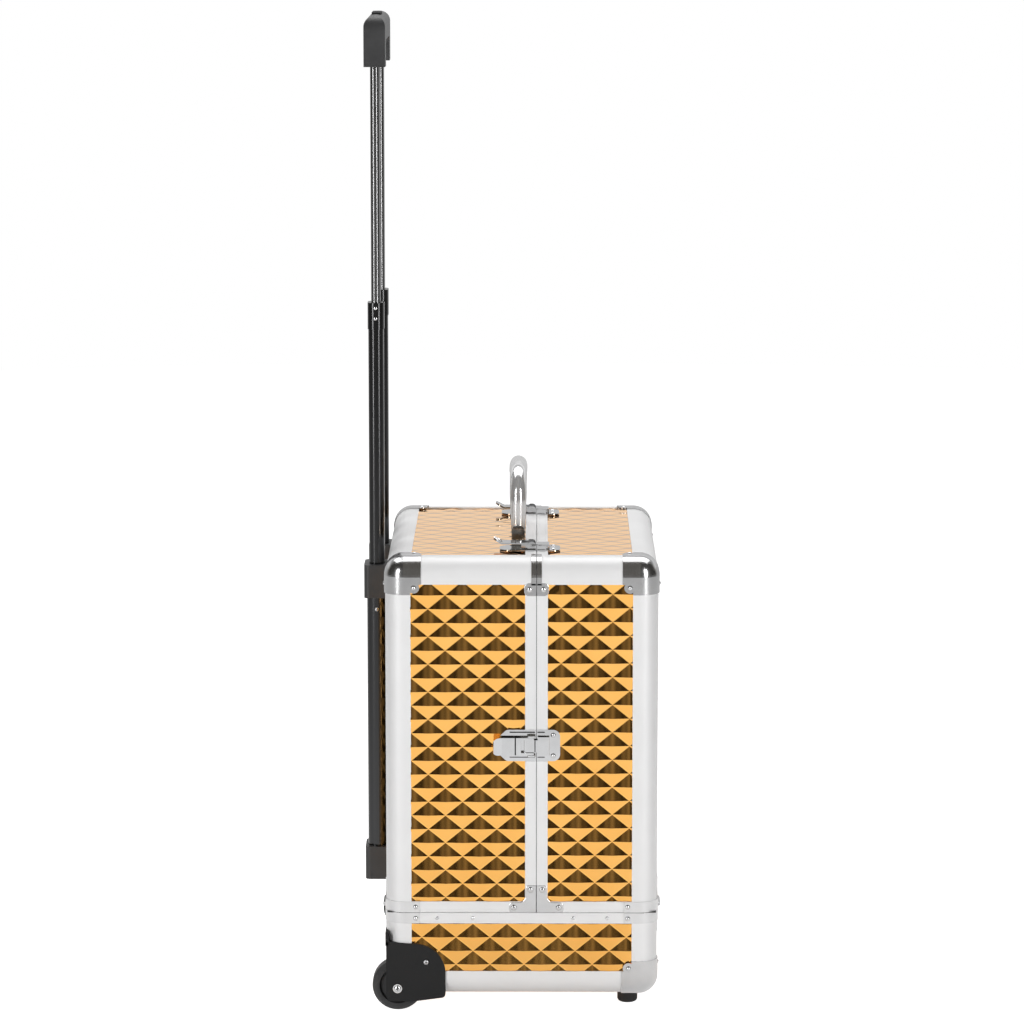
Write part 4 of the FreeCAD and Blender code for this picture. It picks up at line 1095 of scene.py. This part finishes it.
@dataclass
class Linings:
    """The dark cloth on the inside of the boards."""

    case: CaseBox
    thick: float = 0.5 * MM
    tongue: float = 5.7 * MM
    housing_in: float = 139.0 * MM

    def build(self) -> None:
        """Line both shells and the base."""
        for shell, side in (("rear", -1), ("front", 1)):
            mesh = bmesh.new()
            low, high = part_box(f"{shell}_side_panel")
            self._wall(mesh, high.x if side < 0 else low.x, side, (low.y, high.y), (low.z, high.z))
            self._ends(mesh, f"{shell}_end_panels")
            low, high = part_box(f"{shell}_top_panel")
            self._sheet(mesh, ((low.x, high.x), (low.y, high.y), (low.z - self.thick, low.z)), 2)
            add_piece(f"{shell}_lining", mesh, Finishes.LINING, f"{shell}_shell")
        mesh = bmesh.new()
        low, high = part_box("base_side_panels")
        reach = self.housing_in + self.tongue
        for side, outer in ((-1, low.x), (1, high.x)):
            self._wall(mesh, outer - side * self.case.board, side, (-reach, reach), (low.z, high.z))
        self._ends(mesh, "base_end_panels")
        low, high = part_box("base_floor_panel")
        self._sheet(mesh, ((low.x, high.x), (-reach, reach), (high.z, high.z + self.thick)), 2)
        add_piece("base_lining", mesh, Finishes.LINING, "base")

    def _sheet(self, mesh: bmesh.types.BMesh, spans: tuple[Span, Span, Span], flat: int) -> None:
        """Add one sheet, cut back from the board's tongues.

        Args:
            mesh: The lining that it joins.
            spans: The board's reach along the case, across it and upwards, at the sheet's depth.
            flat: The axis across the sheet, which isn't cut back.
        """
        trims = [0.0 if axis == flat else self.tongue for axis in range(3)]
        join(mesh, bar(*((span[0] + trim, span[1] - trim) for span, trim in zip(spans, trims))))

    def _wall(self, mesh: bmesh.types.BMesh, face: float, side: int, y: Span, z: Span) -> None:
        """Line a rear or front board.

        Args:
            mesh: The lining that it joins.
            face: Where the board's inner face is.
            side: Which way is out.
            y: The board's reach across the case.
            z: The board's lower and upper side.
        """
        self._sheet(mesh, ((face, face - side * self.thick), y, z), 0)

    def _ends(self, mesh: bmesh.types.BMesh, node: str) -> None:
        """Line a near and a far board.

        Args:
            mesh: The lining that it joins.
            node: The boards' solid.
        """
        low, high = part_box(node)
        for face, inward in ((low.y + self.case.board, 1), (high.y - self.case.board, -1)):
            self._sheet(mesh, ((low.x, high.x), (face, face + inward * self.thick), (low.z, high.z)), 1)


@dataclass(frozen=True)
class ScrewHead:
    """A cross-head screw at both ends of the case: its solid and body, its head and its place on the end."""

    name: str
    body: str
    node: str
    radius: float
    rise: float
    place: Span | None = None
    finish: Finishes = Finishes.STEEL

    def seats(self) -> list[Matrix]:
        """Where the near and the far screw sit.

        Returns:
            Each seat's matrix, at the given place or else in the middle of the solid.
        """
        low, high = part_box(self.node)
        along, up = self.place or ((low.x + high.x) / 2, (low.z + high.z) / 2)
        return [face.seat(self.node, along, up) for face in ENDS.values()]


@dataclass
class Screws:
    """Cross-head screws in the housings, axles and outer tubes, and the buttons of the tube collars."""

    heads: tuple[ScrewHead, ...] = (
        ScrewHead(
            "housing_screws",
            "base",
            "wheel_housings",
            radius=2.5 * MM,
            rise=1.2 * MM,
            place=(-83.85 * MM, 51.4 * MM),
        ),
        ScrewHead(
            "tube_screws",
            "rear_shell",
            "telescope_outer_tubes",
            radius=2.0 * MM,
            rise=0.9 * MM,
            place=(-134.05 * MM, 384.1 * MM),
        ),
        ScrewHead(
            "axle_slots",
            "base",
            "wheel_axles",
            radius=3.4 * MM,
            rise=1.6 * MM,
            finish=Finishes.CHROME,
        ),
    )
    button_along: float = -134.05 * MM
    button_heights: Span = (683.0 * MM, 672.7 * MM)
    button_size: Span = (1.8 * MM, 0.7 * MM)
    slot_long: float = 0.5
    slot_wide: float = 0.12
    slot_deep: float = 0.6 * MM
    slot_proud: float = 0.02 * MM
    tilt: float = 0.35

    def build(self) -> None:
        """Make the screws and the buttons of both ends."""
        for head in self.heads:
            self._pair(head)
        mesh = bmesh.new()
        for face in ENDS.values():
            for up in self.button_heights:
                join(mesh, dome(*self.button_size), face.seat("telescope_mid_tubes", self.button_along, up))
        add_piece("collar_buttons", mesh, Finishes.CHROME, "telescope_middle")

    def _pair(self, head: ScrewHead) -> None:
        """Set a screw on the near and the far end, with a flat black cross on its head that paints the shade
        of its crossed recess.

        Args:
            head: The screw.
        """
        heads, slots = bmesh.new(), bmesh.new()
        long, wide = head.radius * self.slot_long, head.radius * self.slot_wide
        deep = (head.rise - self.slot_deep, head.rise + self.slot_proud)
        for seat in head.seats():
            join(heads, dome(head.radius, head.rise), seat)
            # Painted shade: a flat black cross sunk into the head stands in for the recess's shade.
            for turn in (self.tilt, self.tilt + math.pi / 2):
                slot = bar((-long, long), (-wide, wide), deep)
                join(slots, slot, seat @ Matrix.Rotation(turn, 4, "Z"))
        add_piece(head.name, heads, head.finish, head.body)
        add_piece(f"{head.name}_recess_shade", slots, Finishes.PAINTED_SHADE, head.body)


@dataclass
class LatchShadeLines:
    """The latches' painted shade: dark lines in the lever's groove, in the joint at its fork and along the
    plates' edges, where shade falls.
    """

    case: CaseBox
    groove: Span = (-21.1 * MM, -19.8 * MM)
    groove_out: Span = (6.95 * MM, 7.55 * MM)
    groove_across: Span = (-8.4 * MM, 8.4 * MM)
    joint: Span = (-1.9 * MM, -0.9 * MM)
    joint_out: Span = (5.6 * MM, 5.85 * MM)
    joint_across: Span = (-5.9 * MM, 5.9 * MM)
    base_line: Span = (-26.0 * MM, -1.5 * MM)
    catch_line: Span = (1.0 * MM, 8.0 * MM)
    line_out: Span = (1.3 * MM, 1.6 * MM)
    upper_line: Span = (12.5 * MM, 13.7 * MM)
    lower_line: Span = (-12.0 * MM, -11.2 * MM)

    def build(self) -> None:
        """Lay the painted shade lines on every latch."""
        lines = {"upper": self.upper_line, "lower": self.lower_line}
        plates = {"base": ("rear_shell", self.base_line), "catch": ("front_shell", self.catch_line)}
        for end in ENDS:
            for site in ("top", "end"):
                lever, hook = f"{site}_latch_lever_{end}", f"{site}_latch_hook_{end}"
                shade_lines = [
                    (lever, lever, self.groove, self.groove_out, self.groove_across),
                    (hook, hook, self.joint, self.joint_out, self.joint_across),
                ]
                for plate_word, (body, along) in plates.items():
                    for line_word, across in lines.items():
                        name = f"{site}_latch_{end}_{plate_word}_{line_word}"
                        shade_lines.append((name, body, along, self.line_out, across))
                # Each line is a thin flat black bar that paints the shade in a groove, a joint or along a
                # plate's edge.
                for name, body, *spans in shade_lines:
                    add_piece(f"{name}_shade_line", self._shade_line(lever, *spans), Finishes.PAINTED_SHADE, body)

    def _shade_line(self, lever: str, along: Span, out: Span, across: Span) -> bmesh.types.BMesh:
        """One dark line of painted shade on a latch.

        Args:
            lever: The latch's lever, which gives the latch's middle.
            along: Where the line runs, from the seam.
            out: Its height off the frame's face.
            across: Its place across the latch.

        Returns:
            The line's bmesh.
        """
        low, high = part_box(lever)
        middle = (low + high) / 2
        x = tuple(self.case.seam + place for place in along)
        if lever.startswith("top"):
            y = tuple(middle.y + place for place in across)
            return bar(x, y, tuple(self.case.top + place for place in out))
        side = -1 if middle.y < 0 else 1
        y = tuple(side * (self.case.end + place) for place in out)
        return bar(x, y, tuple(middle.z + place for place in across))


@dataclass
class HousingFins:
    """The thin moulded strips that run up the rear posts from the wheel housings."""

    case: CaseBox
    rear_out: float = 0.7 * MM
    wide: float = 2.6 * MM
    long: float = 24.0 * MM
    high: float = 81.0 * MM
    sunk: float = 4.0 * MM
    edge: float = 0.4 * MM

    def build(self) -> None:
        """Make the strip of both housings."""
        low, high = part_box("wheel_housings")
        mesh = bmesh.new()
        x = (self.case.rear - self.rear_out, self.case.rear + self.wide)
        for y in ((low.y, low.y + self.long), (high.y - self.long, high.y)):
            join(mesh, bar(x, y, (high.z - self.sunk, self.high), self.edge))
        add_piece("housing_fins", mesh, Finishes.MOULDED, "base")


@dataclass(frozen=True)
class Lamp:
    """A soft rectangular lamp that points at the case."""

    name: str
    place: Point
    size: Span
    power: float
    aim: Point = (0.0, 0.0, 0.35)

    def build(self) -> None:
        """Hang the lamp."""
        data = bpy.data.lights.new(self.name, "AREA")
        data.shape = "RECTANGLE"
        data.size, data.size_y = self.size
        data.energy = self.power
        lamp = bpy.data.objects.new(self.name, data)
        turn = (Vector(self.aim) - Vector(self.place)).to_track_quat("-Z", "Y").to_matrix()
        lamp.matrix_world = Matrix.Translation(self.place) @ turn.to_4x4()
        bpy.context.scene.collection.objects.link(lamp)


@dataclass
class Studio:
    """White floor, soft lamps, a dark room behind the camera, and the camera itself."""

    camera_place: Point = (0.02506, -4.23535, 1.14418)
    camera_dip: float = 9.048
    camera_turn: float = 0.35
    camera_reach: float = 200.0
    lens: float = 150.37
    sensor: float = 36.0
    floor_radius: float = 5.0
    floor_segments: int = 96
    floor_tone: Tone = (0.66, 0.66, 0.66)
    floor_far: Tone = (0.45, 0.45, 0.45)
    floor_fade: Span = (1.15, 1.6)
    floor_lift: float = 0.95
    mirror: Span = (0.45, 0.36)
    room: Span = (0.19, 0.045)
    room_wide: Span = (0.0, 0.13)
    room_tint: Tone = (1.0, 0.94, 0.84)
    room_bands: float = 70.0
    room_band_depth: float = 0.4
    room_end: Span = (0.15, 0.55)
    backdrop: Span = (0.92, 0.36)
    backdrop_fade: Span = (0.32, 0.6)
    horizon: Span = (0.66, 1.0)
    horizon_fade: Span = (0.19, 0.29)
    lamps: tuple[Lamp, ...] = (
        Lamp("left_strip", (-1.55, -2.2, 1.1), (0.45, 2.0), 32.5),
        Lamp("right_strip", (1.55, -2.2, 1.1), (0.45, 2.0), 32.5),
        Lamp("overhead_softbox", (0.0, 1.0, 3.0), (3.8, 2.2), 64.0),
    )

    def build(self) -> None:
        """Set the floor, the light and the camera."""
        self._floor()
        self._world()
        for lamp in self.lamps:
            lamp.build()
        self._camera()
        bpy.context.scene.view_settings.view_transform = "Standard"

    def _floor(self) -> None:
        """A wide pale floor that darkens far in front of the case."""
        mesh = bmesh.new()
        bmesh.ops.create_circle(mesh, cap_ends=True, segments=self.floor_segments, radius=self.floor_radius)
        data = bpy.data.meshes.new("floor")
        mesh.to_mesh(data)
        mesh.free()
        floor = bpy.data.objects.new("floor", data)
        bpy.context.scene.collection.objects.link(floor)
        pale = bpy.data.materials.new("pale_floor")
        pale.use_nodes = True
        nodes = pale.node_tree.nodes
        nodes.remove(nodes["Principled BSDF"])
        tree = Tree(pale.node_tree)
        far = tree.add("VectorMath")
        far.operation = "LENGTH"
        tree.feed(far, {0: tree.add("TexCoord").outputs["Object"]})
        fade = tree.step(far.outputs["Value"], self.floor_fade, (0.0, 1.0))
        matt = tree.add("BsdfDiffuse", {"Color": tree.ramp(fade, self.floor_tone, self.floor_far)})
        glow = tree.add("Emission", {"Strength": self._lift(tree, fade)})
        both = tree.add("AddShader", {0: matt.outputs["BSDF"], 1: glow.outputs["Emission"]})
        tree.feed(nodes["Material Output"], {"Surface": both.outputs["Shader"]})
        data.materials.append(pale)

    def _lift(self, tree: Tree, fade: bpy.types.NodeSocket) -> bpy.types.NodeSocket:
        """How much the floor is lifted to white: fully when seen straight, less in metal.

        Args:
            tree: The floor material's nodes.
            fade: The socket that goes from zero near the case to one far away.

        Returns:
            The socket that holds the lift.
        """
        path = tree.add("LightPath")
        shine = tree.math(
            "MULTIPLY", path.outputs["Is Glossy Ray"], tree.step(fade, (0.0, 1.0), self.mirror)
        )
        return tree.math(
            "MAXIMUM", tree.math("MULTIPLY", path.outputs["Is Camera Ray"], self.floor_lift), shine
        )

    def _world(self) -> None:
        """A white backdrop behind the case, dimmer high up, and a dark room on the camera's side."""
        world = bpy.data.worlds.new("studio_room")
        bpy.context.scene.world = world
        world.use_nodes = True
        tree = Tree(world.node_tree)
        way = tree.add("SeparateXYZ", {"Vector": tree.add("TexCoord").outputs["Generated"]})
        x, y, z = (way.outputs[axis] for axis in "XYZ")
        behind = tree.step(y, self.room_end, (0.0, 1.0))
        tone = tree.math("ADD", self._room(tree, x, behind), self._backdrop(tree, z, behind))
        seen = tree.add("LightPath").outputs["Is Camera Ray"]
        white = tree.math("MAXIMUM", seen, behind)
        sky = world.node_tree.nodes["Background"]
        tint = tree.ramp(white, self.room_tint, (1.0, 1.0, 1.0))
        tree.feed(sky, {"Strength": tree.math("MAXIMUM", seen, tone), "Color": tint})

    def _room(
        self, tree: Tree, x: bpy.types.NodeSocket, behind: bpy.types.NodeSocket
    ) -> bpy.types.NodeSocket:
        """The dark room on the camera's side: lightest in the middle, with faint upright bands.

        Args:
            tree: The world's nodes.
            x: The direction's share along the case.
            behind: The socket that goes to one behind the case.

        Returns:
            The room's tone.
        """
        room = tree.step(tree.math("ABSOLUTE", x), self.room_wide, self.room)
        wave = tree.math("SINE", tree.math("MULTIPLY", x, self.room_bands))
        band = tree.math("ADD", tree.math("MULTIPLY", wave, self.room_band_depth), 1.0)
        front = tree.math("SUBTRACT", 1.0, behind)
        return tree.math("MULTIPLY", tree.math("MULTIPLY", room, band), front)

    def _backdrop(
        self, tree: Tree, z: bpy.types.NodeSocket, behind: bpy.types.NodeSocket
    ) -> bpy.types.NodeSocket:
        """The white backdrop behind the case: dimmer high up and near the horizon.

        Args:
            tree: The world's nodes.
            z: The direction's share upwards.
            behind: The socket that goes to one behind the case.

        Returns:
            The backdrop's tone.
        """
        high = tree.step(z, self.backdrop_fade, self.backdrop)
        low = tree.step(z, self.horizon_fade, self.horizon)
        return tree.math("MULTIPLY", tree.math("MULTIPLY", high, low), behind)

    def _camera(self) -> None:
        """The camera at the photograph's place and angle."""
        data = bpy.data.cameras.new("camera")
        data.lens = self.lens
        data.sensor_width = self.sensor
        data.clip_end = self.camera_reach
        camera = bpy.data.objects.new("camera", data)
        camera.location = self.camera_place
        dip, turn = math.radians(90.0 - self.camera_dip), math.radians(self.camera_turn)
        camera.rotation_euler = (dip, 0.0, turn)
        bpy.context.scene.collection.objects.link(camera)
        bpy.context.scene.camera = camera


def main() -> None:
    """Dress the case and set the studio."""
    logging.basicConfig(level=logging.INFO, format="%(message)s")
    case = CaseBox.read()
    Solids().dress()
    FilmSet(case).build()
    SeamTrim(case).build()
    RailRivets().build()
    GapShadeStrips(case).build()
    RailBeads(case).build()
    Linings(case).build()
    Screws().build()
    LatchShadeLines(case).build()
    HousingFins(case).build()
    Studio().build()


if __name__ == "__main__":
    main()
